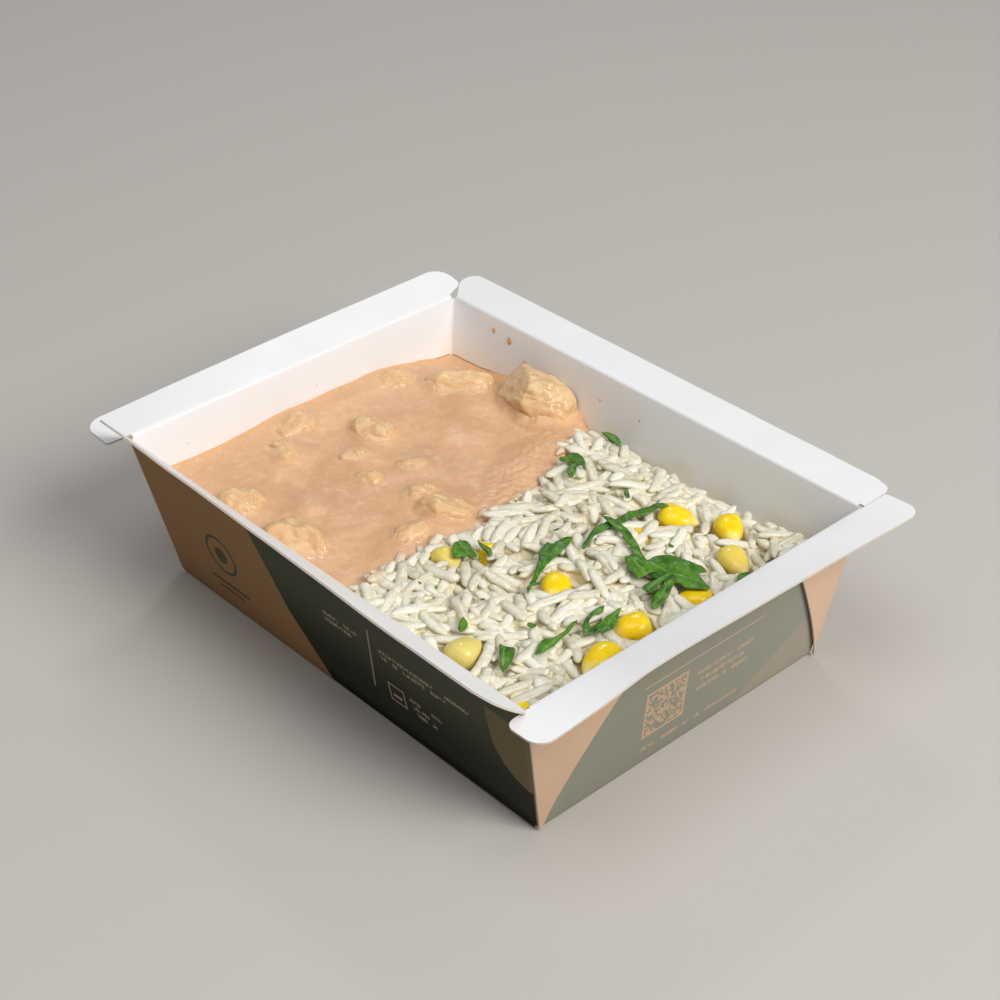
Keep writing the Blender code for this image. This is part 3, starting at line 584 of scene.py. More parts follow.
def edge_material():
    shade = Shade("card_edge", (0.62, 0.55, 0.47), 0.8)
    fibres = shade.noise(shade.place(), 0.4, 4.0)
    shade.set(Base_Color=shade.mix(fibres, (0.72, 0.66, 0.58), (0.5, 0.42, 0.34)))
    return shade.material


# Tray

WALL_ROWS, FOLD_ROWS, FLANGE_ROWS, STATIONS, TIP_COLUMNS, CORNER_COLUMNS = 8, 5, 7, 36, 12, 4
FOOT = ((0.9, 0.0), (0.35, 0.08), (0.08, 0.35))    # inset from the wall, height over the floor
EDGE_RUN = CORNER_R + CARD                         # from the corner of the rim to the end of its straight fold
FOLD_IN = FOLD - CARD * 0.9                        # where the flat of a flange begins, outwards from the fold


def inner_half(z):
    """Half the length and half the width between the walls at this height."""
    t = z / TRAY_H
    half_x = (BASE_L / 2 - CARD) * (1 - t) + OPEN_L / 2 * t
    half_y = (BASE_W / 2 - CARD) * (1 - t) + OPEN_W / 2 * t
    return half_x, half_y


def keep_in(x, y, z, gap):
    """Moves a point back between the walls, this far from them."""
    half_x, half_y = (half - gap for half in inner_half(z))
    return min(max(x, -half_x), half_x), max(min(y, half_y), -half_y), z


def fold_length(side):
    return (OPEN_L if side[1][0] else OPEN_W) + 2 * CARD


def side_point(side, share, z, inset=0.0):
    """A point of the inner face of a wall: share runs 0 to 1 along its flat part."""
    _, along, out = side[:3]
    half = inner_half(z)
    run, reach = half if along[0] else half[::-1]
    q = (2 * share - 1) * (run - CORNER_R)
    reach -= inset
    return along[0] * q + out[0] * reach, along[1] * q + out[1] * reach, z


def tilt(side, place):
    return math.radians(blend_keys(place / fold_length(side), side[3]))


def flange_point(side, place, reach):
    """A point of the upper face of a flange, this far along its fold and this far out from it."""
    corner, along, out = side[:3]
    angle = tilt(side, place)
    outward = reach * math.cos(angle)
    x, y = (
        corner[k] * (size / 2 + CARD) + along[k] * place + out[k] * outward
        for k, size in enumerate((OPEN_L, OPEN_W))
    )
    ripple = 0.14 * rough(x, y, 0, 14.0, 3.0) * min(reach / 4, 1.0)
    return x, y, TRAY_H + reach * math.sin(angle) + ripple


def flange_row(side, place):
    """Points across a flange at this place along its fold, as far out as its rounded ends allow."""
    low, high = FOLD_IN, FLANGE
    ends = side[4]
    for into, (past, outer_r, inner_r, start) in ((place, ends[0]), (fold_length(side) - place, ends[1])):
        tip = into + past
        if tip < outer_r:
            high = min(high, FLANGE - outer_r + math.sqrt(max(outer_r**2 - (outer_r - tip) ** 2, 0.0)))
        if into < EDGE_RUN:
            low = FOLD_IN + (max(start, 0.3) - FOLD_IN) * min((EDGE_RUN - into) / (past + EDGE_RUN), 1.0)
            if tip < inner_r:
                low += inner_r - math.sqrt(max(inner_r**2 - (inner_r - tip) ** 2, 0.0))
    high = max(high, low + 0.05)
    return [flange_point(side, place, low + (high - low) * k / FLANGE_ROWS) for k in range(FLANGE_ROWS + 1)]


def fold_points(side, share, place):
    """The round of the fold between a wall and its flange, from the wall outwards, without its ends."""
    angle = tilt(side, place)
    low, high = (Vector(side_point(side, share, z)) for z in (TRAY_H - FOLD, TRAY_H))
    edge = Vector(flange_point(side, place, 0.0))
    across = 0 if side[1][0] else 1
    edge[across] = high[across]
    outward = Vector((side[2][0] * math.cos(angle), side[2][1] * math.cos(angle), math.sin(angle)))
    corner, end = edge - outward * CARD * 0.9, edge + outward * FOLD_IN
    steps = [n / FOLD_ROWS for n in range(1, FOLD_ROWS)]
    return [tuple(low * (1 - t) ** 2 + corner * 2 * t * (1 - t) + end * t * t) for t in steps]


def make_tray(white, outside, edge):
    mesh = bmesh.new()
    verts = {}

    def vert(point):
        key = tuple(round(c, 3) for c in point)
        if key not in verts:
            verts[key] = mesh.verts.new(to_frame(point))
        return verts[key]

    def strip(first, second):
        """Faces between two columns of points, which may share some."""
        for k in range(len(first) - 1):
            corners = (first[k], second[k], second[k + 1], first[k + 1])
            corners = [c for n, c in enumerate(corners) if c is not corners[n - 1]]
            if len(corners) > 2 and len(set(corners)) == len(corners) and not mesh.faces.get(corners):
                mesh.faces.new(corners)

    def wall_column(point_at):
        column = [point_at(CARD + up, inset) for inset, up in FOOT]
        low, high = CARD + FOOT[0][0], TRAY_H - FOLD
        return column + [point_at(low + (high - low) * n / WALL_ROWS, 0.0) for n in range(WALL_ROWS + 1)]

    ring = []
    for side in SIDES:
        ends, against = side[4:]
        length = fold_length(side)
        columns = []
        for n in range(STATIONS + 1):
            share = n / STATIONS
            place = EDGE_RUN + (length - 2 * EDGE_RUN) * share
            wall = wall_column(lambda z, inset: side_point(side, share, z, inset))
            points = wall + fold_points(side, share, place) + flange_row(side, place)
            columns.append([vert(p) for p in points])
        for first, second in zip(columns, columns[1:]):
            strip(first, second)
        for at_end in (False, True):
            past = ends[at_end][0]
            before = columns[-1 if at_end else 0][-(FLANGE_ROWS + 1):]
            for n in range(1, TIP_COLUMNS + 1):
                t = 1 - math.cos(math.pi / 2 * (1 - n / TIP_COLUMNS))
                into = (EDGE_RUN + past) * t - past
                tip = [vert(p) for p in flange_row(side, length - into if at_end else into)]
                strip(before, tip)
                before = tip
        walls = [c[:len(FOOT) + WALL_ROWS + 1] for c in columns]
        ring.append(walls[::-1] if against else walls)

    loop = []
    for walls, (sx, sy, start) in zip(ring, ((1, -1, -90), (1, 1, 0), (-1, 1, 90), (-1, -1, 180))):
        loop += walls
        for n in range(1, CORNER_COLUMNS):
            angle = math.radians(start + 90 * n / CORNER_COLUMNS)

            def corner_point(z, inset):
                half_x, half_y = inner_half(z)
                radius = max(CORNER_R - inset, 0.0)
                x = sx * (half_x - CORNER_R) + radius * math.cos(angle)
                return x, sy * (half_y - CORNER_R) + radius * math.sin(angle), z

            loop.append([vert(p) for p in wall_column(corner_point)])
    for n, first in enumerate(loop):
        strip(first, loop[(n + 1) % len(loop)])
    mesh.faces.new(list(dict.fromkeys(column[0] for column in loop)))
    bmesh.ops.recalc_face_normals(mesh, faces=mesh.faces)
    if max(mesh.faces, key=lambda f: f.calc_center_median().z).normal.z < 0:
        bmesh.ops.reverse_faces(mesh, faces=mesh.faces)
    data = bpy.data.meshes.new("card_tray")
    mesh.to_mesh(data)
    mesh.free()
    for material in (white, outside["plain"], edge, outside["front"], outside["end"]):
        data.materials.append(material)
    tray = add_object("card_tray", data)
    thicken(tray, CARD, -1, use_even_offset=True, material_offset=1, material_offset_rim=2)
    for polygon in tray.data.polygons:
        if polygon.material_index == 1 and polygon.normal.y < -0.8:
            polygon.material_index = 3
        elif polygon.material_index == 1 and abs(polygon.normal.x) > 0.8:
            polygon.material_index = 4
    tray.data.set_sharp_from_angle(angle=math.radians(45))
    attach(tray, "root")
    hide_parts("tray")


def make_webs(materials):
    """The folded webs, glued flat against the outside of both end walls. Each stands off at its free edge."""
    columns, rows = 14, 16
    top, foot, tip, stuck = TRAY_H - 0.25, 0.7, 0.5, 0.06
    for number, (end, side, reach, proud) in enumerate(WEBS):
        verts = []
        for row in range(rows + 1):
            z = foot + (top - foot) * row / rows
            half_x, half_y = (h + CARD for h in inner_half(z))
            width = tip + (reach - tip) * (row / rows) ** 1.18
            for column in range(columns + 1):
                share = column / columns
                y = side * (half_y - 0.35 - width * share)
                off = stuck + (proud - CARD - stuck) * ramp(share * 1.1) + 0.06 * rough(0, y, z, 8.0, number)
                verts.append((end * (half_x + max(off, 0.04)), y, z))
        faces = [quad if end * side < 0 else quad[::-1] for quad in grid_faces(rows, columns)]
        web = make_piece(f"corner_web_{number + 1}", verts, faces, materials, "card", ["tray"], 40)
        thicken(web, CARD * 0.9, 1, material_offset_rim=1)
        web.data.set_sharp_from_angle(angle=math.radians(40))


# Tops of the sauce and of the rice

def sauce_top(x, y):
    level = SAUCE_LEVEL
    level -= 2.5 * ramp((y - 20) / 28) * ramp((-40 - x) / 22)
    level -= 1.2 * ramp((y - 38) / 12)
    level += 1.0 * mound(x, y, -73, 6, 18, 26)
    level += 0.2 * math.sin(0.21 * x + 1.3) * math.sin(0.17 * y)
    for *place, height in SUNKEN:
        level += height * mound(x, y, *place)
    for centre_x, centre_y, reach in CHICKEN_PLACES:
        level += 0.9 * mound(x, y, centre_x, centre_y, reach, reach)
    return level


def rice_top(x, y):
    """The top of the bare core of the rice solid. Its fused grains stand about 1.7 mm over it."""
    level = RICE_LEVEL
    level -= 4.6 * ramp((y - 37) / 15)
    level += 0.9 * mound(x, y, 34, 2, 24, 22)
    level += 3.6 * mound(x, y, 62, 42, 8, 7)
    level -= 1.0 * ramp((x - 60) / 12) * ramp((30 - y) / 10)
    level -= 0.8 * ramp((6 - x) / 14)
    level += 0.55 * math.sin(0.33 * x + 0.6) * math.sin(0.29 * y + 0.4)
    return level


def find_chicken():
    """Middle and reach of each piece of chicken, from the solids."""
    places = []
    for n in range(CHICKEN_COUNT):
        low, high = (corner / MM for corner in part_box(f"chicken_{n + 1}"))
        reach = (high.x - low.x + high.y - low.y) / 4 + 2.5
        places.append(((low.x + high.x) / 2 - SHIFT[0], (low.y + high.y) / 2 - SHIFT[1], reach))
    return places


CHICKEN_PLACES = find_chicken()


def node_points(name):
    """The corners of a CAD node in millimetres, in the tray's own coordinates, welded, and its triangles."""
    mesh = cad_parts[name].data
    number, index = {}, []
    for vertex in mesh.vertices:
        point = tuple(round(c / MM - s, 3) for c, s in zip(vertex.co, (*SHIFT, 0.0)))
        index.append(number.setdefault(point, len(number)))
    return list(number), [tuple(index[i] for i in p.vertices) for p in mesh.polygons]


def close_heap(verts, row, end):
    """Faces of a heap whose top is a grid of points, row by row. Its foot, which they add, is at this end."""
    count = len(verts) // row - 1
    faces = [face if end < 0 else flip(face) for face in grid_faces(count, row - 1)]
    rim = list(range(row)) + [j * row + row - 1 for j in range(1, count + 1)]
    rim += [count * row + i for i in range(row - 2, -1, -1)] + [j * row for j in range(count - 1, 0, -1)]
    first = len(verts)
    foot_x, foot_y = inner_half(FLOOR_Z)
    for index in rim:
        x, y, z = verts[index]
        width, depth = inner_half(z)
        verts.append((x * foot_x / width if x * end > 0 else x, y * foot_y / depth, FLOOR_Z))
    for n in range(len(rim)):
        a, b = (n, (n + 1) % len(rim))[::end]
        faces.append((rim[a], rim[b], first + b, first + a))
    return faces + [tuple(range(first, len(verts)))[::end]]


# Sauce

SAUCE_STEP = 0.5
SAUCE_LONG, SAUCE_WIDE = 80, 52    # greatest length and half width of the pool
SAUCE_OVER = 3.4                   # how far the sauce runs in under the edge of the rice
FILM_SLOPE = 0.9                   # steepness of the sauce where it runs off a piece
FILM_BLEND = 1.1                   # how softly that meets the pool
ABOVE_ALL = 60.0                   # a height over all food
DOWN = Vector((0, 0, -1))


def sauce_grid(chicken):
    """Points of the surface of the sauce, which flows over the sides of the chicken and over some tops."""
    count_x, count_y = int(SAUCE_LONG / SAUCE_STEP), int(2 * SAUCE_WIDE / SAUCE_STEP)
    x, y, level, tops, film, pasts = (np.zeros((count_y + 1, count_x + 1)) for _ in range(6))
    half_x, half_y = inner_half(SAUCE_LEVEL)
    for j in range(count_y + 1):
        across = (2 * j / count_y - 1) * half_y
        border = blend_keys(across, BORDER)
        ragged = 1.3 * rough(0, across, 0, 4.0, 5.0) + 0.8 * rough(0, across, 0, 1.7, 9.0)
        for i in range(count_x + 1):
            share = i / count_x
            along = -half_x * (1 - share) + (border + SAUCE_OVER) * share
            x[j, i], y[j, i] = along, across
            pasts[j, i] = along - border - ragged
            level[j, i] = sauce_top(along, across)
            hit = chicken.ray_cast(Vector((along, across, ABOVE_ALL)), DOWN)[0]
            tops[j, i] = hit.z if hit else 0.0
            over = tops[j, i] - 0.30 - 1.3 * rough(along, across, 0, 3.4, 7.5)
            film[j, i] = min(over, level[j, i] + 1.9 + 0.8 * rough(along, across, 0, 4.0, 3.5))
    for _ in range(14):
        moved = [np.roll(film, step, axis) - FILM_SLOPE * SAUCE_STEP for axis in (0, 1) for step in (-1, 1)]
        film = np.maximum.reduce([film] + moved)
    film = soften(film, 4)
    share = np.clip(0.5 + 0.5 * (film - level) / FILM_BLEND, 0, 1)
    z = film * share + level * (1 - share) + FILM_BLEND * share * (1 - share)
    return x, y, z, tops, pasts


def make_sauce(material, pieces):
    """The pool of sauce. Returns its grid, for what lies in it."""
    grid = sauce_grid(BVHTree.FromPolygons(*join(pieces)))
    half_x, half_y = inner_half(SAUCE_LEVEL)
    verts, edges, thins = [], [], []
    for x, y, z, top, past in zip(*(a.ravel() for a in grid)):
        to_wall = min(x + half_x, half_y - abs(y))
        z += 0.55 * math.exp(-to_wall / 0.7)
        z += 0.16 * rough(x, y, 0, 5.0, 1.0) + 0.06 * rough(x, y, 0, 1.9, 2.0)
        near = ramp((top - z + 3.0) / 2.5)
        z += near * (0.30 * abs(rough(x, y, 0, 1.9, 2.5)) + 0.12 * rough(x, y, 0, 0.9, 5.5))
        lumpy = ramp((past + 16) / 12) * ramp((y + 6) / 14) * ramp((46 - y) / 8)
        z += lumpy * (0.35 + 0.45 * abs(rough(x, y, 0, 2.2, 4.0)) + 0.3 * rough(x, y, 0, 1.2, 6.0))
        z -= 2.4 * ramp(past / 2.6)
        verts.append(keep_in(x, y, z, 0.02))
        # Painted light: the sauce glows a deeper orange near the walls.
        edges.append(math.exp(-to_wall / 0.8))
        thins.append(ramp(1.2 - (z - top) / 1.8) if top > 0 else 0.0)
    faces = close_heap(verts, grid[0].shape[1], -1)
    make_piece("sauce_pool", verts, faces, [material], "sauce", ["sauce"], 60, edge=edges, thin=thins)
    return grid


def sauce_material():
    shade = Shade("sauce", (0.74, 0.40, 0.225), 0.3, 1.42)
    where = shade.place()
    grains = shade.noise(where, 0.55, 4.0, 0.65)
    mottle = shade.noise(where, 2.6, 4.0, 0.65)
    thin = shade.attribute("thin") * shade.noise(where, 1.6).band(0.3, 0.6)
    clouds = shade.noise(where, 11.0).band(0.35, 0.68)
    colour = shade.coat(
        shade.mix(clouds, (0.65, 0.377, 0.20), (0.735, 0.437, 0.235)),
        (mottle.band(0.52, 0.66, 0.0, 0.45), (0.80, 0.53, 0.33)),
        (mottle.band(0.34, 0.46, 0.4, 0.0), (0.66, 0.345, 0.185)),
        (grains.band(0.52, 0.72, 0.0, 0.5), (0.83, 0.57, 0.345)),
        (grains.band(0.30, 0.44, 0.32, 0.0), (0.54, 0.27, 0.14)),
        (thin * 0.8, (0.77, 0.53, 0.30)),
        (shade.cells(where, 2.3).band(0.02, 0.10, 0.55, 0.0), (0.50, 0.20, 0.09)),
        # painted light: a deeper orange glow along the walls
        (shade.attribute("edge") * 0.6, (0.74, 0.40, 0.17)),
    )
    crumbs = shade.noise(where, 0.8) * (thin * 2.0)
    ripples = grains * 0.12 + crumbs + shade.noise(where, 1.6)
    return shade.finish(colour, thin.band(0.05, 0.4, 0.36, 0.10), (ripples, 0.12, 0.4))


# Chicken

FULLNESS = 0.72                    # below 1, a piece is blockier than its solid, so more of it shows
BLUNT = 0.9                        # share of what stands past a flat face that is taken off
# Large flat faces of some pieces: facing, how far out of the middle as a share of the reach
FACETS = {
    1: (((-0.5, -0.55, 0.7), 0.60), ((0.62, -0.62, 0.45), 0.68), ((0.9, 0.2, 0.5), 0.75), ((0.0, 0.5, 0.8), 0.8)),
    2: (((0.5, -0.5, 0.7), 0.72), ((-0.5, 0.5, 0.7), 0.72)),
    7: (((0.4, -0.4, 0.8), 0.7), ((-0.7, 0.2, 0.6), 0.7)),
}
COATED = {1: 0.1, 2: 0.15, 7: 0.8, 8: 0.0}            # least share of sauce on a piece
COATED_OTHERS = 0.35


def even_points(name, size):
    """Points, facings and faces of a solid, with even small faces and soft edges."""
    points, faces = node_points(name)
    mesh = bpy.data.meshes.new("rough")
    mesh.from_pydata(points, [], faces)
    piece = add_object("rough", mesh)
    even = piece.modifiers.new("even", "REMESH")
    even.mode = "VOXEL"
    even.voxel_size = 0.42 if size > 16 else 0.34
    soft = piece.modifiers.new("soft", "SMOOTH")
    soft.factor, soft.iterations = 0.5, 7
    apply_modifiers(piece)
    co, normals = (np.array([getattr(v, key) for v in piece.data.vertices]) for key in ("co", "normal"))
    triangles = [tuple(p.vertices) for p in piece.data.polygons]
    bpy.data.objects.remove(piece, do_unlink=True)
    return co, normals, triangles


def chicken_shape(number):
    """Points and faces of a torn piece: flat faces where it broke, and ridges along its fibres."""
    low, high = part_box(f"chicken_{number}")
    size = max(high - low) / MM
    co, normals, triangles = even_points(f"chicken_{number}", size)
    middle = co.mean(0)
    local = co - middle
    half = np.abs(local).max(0)
    local[:, 2] = np.sign(local[:, 2]) * half[2] * (np.abs(local[:, 2]) / half[2]) ** FULLNESS
    local[:, :2] *= 1.1
    length_way = np.linalg.eigh(np.cov(local[:, :2].T))[1][:, 1]
    along = local[:, :2] @ length_way
    side = local[:, :2] @ np.array((-length_way[1], length_way[0]))
    scale = min(size / 15, 1.0)
    draw = np.random.RandomState(100 + number)
    cuts = list(FACETS.get(number, ()))
    for _ in range(12):
        facing = draw.normal(size=3)
        cuts.append(((facing[0], facing[1], abs(facing[2]) * 0.8), draw.uniform(0.80, 0.98)))
    for facing, share in cuts:
        facing = np.array(facing) / np.linalg.norm(facing)
        reach = local @ facing
        over = np.maximum(reach - reach.max() * share, 0.0)
        local = local - facing * over[:, None] * BLUNT
    moved = []
    for n, (a, b) in enumerate(zip(along, side)):
        c = local[n][2]
        ridge = 1 - 2 * abs(rough(a * 0.45, b, c, 3.0, number))
        lumps = rough(a * 0.7, b, c, 4.4, 3.0 + number)
        flakes = 1 - 2 * abs(rough(a * 0.35, b, c, 1.5, 5.0 + number))
        fibre = rough(a * 0.2, b, c, 0.7, 7.0 + number)
        fine = rough(a, b, c, 0.6, 11.0 + number)
        out = scale * (0.75 + 0.45 * ridge + 0.8 * lumps + 0.3 * flakes) + 0.15 * fibre + 0.07 * fine
        moved.append(keep_in(*(middle + local[n] + normals[n] * out), 0.05))
    return moved, triangles


def make_chicken(number, shape, grid, material):
    """The piece itself, with sauce on its lower parts."""
    x, y, z = grid[:3]
    rows, columns = x.shape
    draw_in = 0.5 * max(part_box(f"chicken_{number}")[1].z / MM - 30.5, 0.6)
    coats = []
    for point in shape[0]:
        j = int(round((point[1] - y[0, 0]) / (y[-1, 0] - y[0, 0]) * (rows - 1)))
        j = min(max(j, 0), rows - 1)
        i = int(round((point[0] - x[j, 0]) / (x[j, -1] - x[j, 0]) * (columns - 1)))
        up = point[2] - z[j, min(max(i, 0), columns - 1)] - 0.1
        wet = 0.9 * rough(*point, 2.6, 20.0) + 0.6 * rough(*point, 1.0, 21.0)
        washed = 1 - ramp((up + draw_in * wet) / (0.4 + draw_in))
        coats.append(max(COATED.get(number, COATED_OTHERS), washed, 1 - ramp(up / 0.5)))
    replaced = [f"chicken_{number}"]
    make_piece(f"chicken_piece_{number}", *shape, [material], "chicken", replaced, coat=coats)


def chicken_material():
    shade = Shade("chicken", (0.78, 0.55, 0.30), 0.34, 1.42)
    where = shade.place()
    fibres = shade.noise(shade.stretch(where, (0.5, 1.0, 1.0)), 0.7, 4.0, 0.6)
    colour = shade.coat(
        shade.mix(shade.noise(where, 3.2, 2.0).band(0.35, 0.65), (0.74, 0.48, 0.24), (0.80, 0.57, 0.32)),
        (fibres.band(0.5, 0.75, 0.0, 0.5), (0.86, 0.70, 0.47)),
        (fibres.band(0.28, 0.42, 0.3, 0.0), (0.64, 0.38, 0.17)),
        (shade.noise(where, 2.2).band(0.52, 0.66, 0.0, 0.55), (0.72, 0.40, 0.17)),
        (shade.attribute("coat") * 0.85, (0.71, 0.43, 0.215)),
    )
    lumps = shade.noise(where, 1.5, 2.0) * 2.5 + fibres
    return shade.finish(colour, fibres.band(0.3, 0.7, 0.09, 0.20), (lumps, 0.14, 0.55))


class Relief:
    """The highest point of the food so far, on a fine grid."""

    STEP = 0.4

    def __init__(self, height):
        self.low = (-OPEN_L / 2, -OPEN_W / 2)
        counts = (int(OPEN_L / self.STEP) + 2, int(OPEN_W / self.STEP) + 2)
        across = [[low + n * self.STEP for n in range(count)] for low, count in zip(self.low, counts)]
        self.z = np.array([[height(x, y) for y in across[1]] for x in across[0]])

    def cell(self, x, y):
        return tuple(
            np.clip(np.rint((value - low) / self.STEP).astype(int), 0, count - 1)
            for value, low, count in zip((x, y), self.low, self.z.shape)
        )

    def at(self, x, y):
        return self.z[self.cell(x, y)]

    def lift(self, x, y, z):
        np.maximum.at(self.z, self.cell(x, y), z)

    def highest(self, x, y, radius):
        i, j = self.cell(np.float64(x), np.float64(y))
        r = int(math.ceil(radius / self.STEP))
        return float(self.z[max(i - r, 0):i + r + 1, max(j - r, 0):j + r + 1].max())


# Corn

COVERED = (4, 9, 12, 13)            # kernels that grains may lie on
PALE_AND_SHADED = {3: 0.45, 7: 0.75, 8: 0.6, 12: 0.5}           # kernels mixed towards a dull olive, and how much: 3, 7 and 8 are paler kernels, 12 has painted shade under the leaves


def kernel_shape(number, rings=30, sides=28):
    """A corn kernel: broad blunt crown with a shallow dent, flat cheeks, and a narrow pale tip."""
    x, y, rise, half_l, half_w, half_t, turn = CORN[number]
    draw = np.random.RandomState(60 + number)
    dent, skew = draw.uniform(0.25, 0.5), draw.uniform(-0.12, 0.12)
    c, s = math.cos(math.radians(turn)), math.sin(math.radians(turn))
    verts = []
    for ring in range(rings + 1):
        polar = math.pi * ring / rings
        dx, wide = math.cos(polar), math.sin(polar)
        taper = 0.80 + 0.20 * math.sin(dx * math.pi / 2) - 0.22 * ramp((-0.45 - dx) / 0.55)
        for n in range(1 if ring in (0, rings) else sides):
            angle = 2 * math.pi * n / sides
            dy, dz = wide * math.cos(angle), wide * math.sin(angle)
            square = (abs(dy) ** 2.5 + abs(dz) ** 2.5 + 1e-9) ** (-1 / 2.5) * math.hypot(dy, dz)
            square = 1 + (square - 1) * 0.8
            reach = math.copysign(abs(dx) ** 0.88, dx) * half_l
            reach -= dent * math.exp(-((dy**2 + dz**2) / 0.16)) * (1 if dx > 0 else 0)
            px, py, pz = reach + skew * dy * half_w, dy * half_w * taper * square, dz * half_t * taper * square
            swell = 1 + 0.035 * rough(px, py, pz, 3.0, number)
            px, py, pz = px * swell, py * swell, pz * swell
            z = rice_top(x, y) + rise + pz
            verts.append(keep_in(x + c * px - s * py, y + s * px + c * py, z, 0.05))
    return verts, ball_faces(sides, rings - 1)


def make_corn(material, relief):
    for number, (x, y, _, half_l, _, _, turn) in enumerate(CORN):
        verts, faces = kernel_shape(number)
        way = math.radians(turn)
        crowns = [((v[0] - x) * math.cos(way) + (v[1] - y) * math.sin(way)) / half_l for v in verts]
        pale_and_shaded = [PALE_AND_SHADED.get(number + 1, 0.0)] * len(verts)
        name, replaced = f"corn_kernel_{number + 1}", [f"corn_{number + 1}"]
        make_piece(name, verts, faces, [material], "corn", replaced, crown=crowns, pale=pale_and_shaded)
        relief.lift(*np.array(verts).T)


def corn_material():
    shade = Shade("corn", (0.90, 0.60, 0.03), 0.22)
    where = shade.place()
    clouds = shade.noise(where, 2.4)
    lines = shade.noise(shade.stretch(where, (1.0, 1.0, 0.35)), 0.8)
    crown = shade.attribute("crown")
    colour = shade.coat(
        shade.mix(clouds.band(0.35, 0.7), (0.97, 0.63, 0.006), (0.98, 0.74, 0.018)),
        (crown.band(0.1, 0.9, 0.0, 0.3), (0.96, 0.76, 0.07)),
        (crown.band(-0.95, -0.45, 0.75, 0.0), (0.90, 0.74, 0.34)),
        (lines.band(0.3, 0.42, 0.25, 0.0), (0.80, 0.44, 0.01)),
        # A dull olive: the own colour of the paler kernels, and painted shade on kernel 12.
        (shade.attribute("pale"), (0.68, 0.60, 0.24)),
    )
    return shade.finish(
        colour, clouds.band(0.3, 0.7, 0.14, 0.25), (lines, 0.12, 0.4),
        Subsurface_Weight=0.3, Subsurface_Radius=(1.0, 0.6, 0.12), Subsurface_Scale=0.0015,
    )


# Rice

TRIES = 26000
CORE_DROP = 1.5                    # how far the bare core of the scene lies under that of the solid
CORE_COLUMNS, CORE_ROWS = 150, 200
GRAINS_UP = 2.0                    # how far grains may stand over the core of the solid
SINK, LONG_SINK = 1.2, 1.5         # how far a grain settles into what is under it
HUG = 0.42                         # how far the core lies under the evened out tops of the grains
PAINTED_SHADE_DEPTH = 1.5                         # how far under the top of the heap a grain gets its full painted shade
COVER = 1.8                        # a grain this far under others is never seen
# Long grains on top of the heap: both ends
LONG_GRAINS = (
    (26.0, 2.7, 34.5, -1.2), (33.0, -0.2, 41.5, -4.0), (22.2, -20.8, 30.7, -16.2), (9.1, -27.7, 19.4, -25.8),
    (16.3, -47.4, 10.9, -38.0), (31.2, -23.3, 41.0, -24.2), (22.7, -30.6, 33.0, -35.0), (38.7, -1.6, 48.5, -5.4),
    (21.8, -39.9, 32.0, -40.6), (50.0, -35.9, 50.0, -28.0), (41.7, -12.3, 46.3, -5.7), (4.7, -41.0, 3.4, -34.0),
)


def rice_core_top(x, y):
    return rice_top(x, y) - CORE_DROP - 1.2 * ramp((blend_keys(y, BORDER) + 4 - x) / 4)


def grain_shape(centre, turn, slope, half, bend, cut, sides=10, rings=12):
    """A long cooked grain: a little flat and bent, one end thinner, the other at times broken off blunt."""
    half_l, half_w, half_t = half
    c, s = math.cos(turn), math.sin(turn)
    lie = 1 / math.hypot(1, slope)
    verts = []
    for ring in range(rings):
        t = -math.cos(math.pi * ring / (rings - 1))
        girth = max(1 - abs(t) ** (3.8 if t > 0 else 2.6), 0.0) ** 0.5 * (1 - 0.08 * t)
        if cut and t > 0:
            girth = max(1 - t**14, 0.0) ** 0.5 * (1 + 0.12 * math.sin(9 * t + centre[0]))
        for n in range(1 if ring in (0, rings - 1) else sides):
            angle = 2 * math.pi * n / sides
            uneven = girth * (1 + 0.14 * rough(6 * t + centre[0], 2 * angle, centre[1], 1.6))
            flat, round_up = (math.copysign(abs(v) ** 0.8, v) for v in (math.cos(angle), math.sin(angle)))
            across = uneven * half_w * flat + bend * (t * t - 0.4)
            up = uneven * half_t * round_up + 0.35 * bend * math.sin(2.5 * t)
            run = t * half_l * lie - up * slope * lie
            z = centre[2] + t * half_l * lie * slope + up * lie
            verts.append(keep_in(centre[0] + c * run - s * across, centre[1] + s * run + c * across, z, 0.03))
    return verts, [flip(face) for face in ball_faces(sides, rings - 2)]


def under_grain(x, y, turn, half_l, half_w, reach, widths, count):
    """Places under or over a grain: how far along it, how far across it, and where."""
    t = np.linspace(-reach, reach, count)[:, None] * half_l
    w = np.array(widths)[None] * half_w
    c, s = math.cos(turn), math.sin(turn)
    return t, w, x + c * t - s * w, y + s * t + c * w


def settle(relief, x, y, turn, half_l, half_w, stand):
    """Slope and height at which a grain comes to rest on what lies under it."""
    t, _, px, py = under_grain(x, y, turn, half_l, half_w, 0.92, (-0.6, 0.0, 0.6), 9)
    under = relief.at(px, py).max(axis=1)
    bases = [((under - slope * t[:, 0]).max(), slope) for slope in np.linspace(-0.55, 0.55, 12)]
    base, slope = min(bases, key=lambda pair: pair[0])
    return slope + stand, base - 0.35 * abs(stand) * half_l


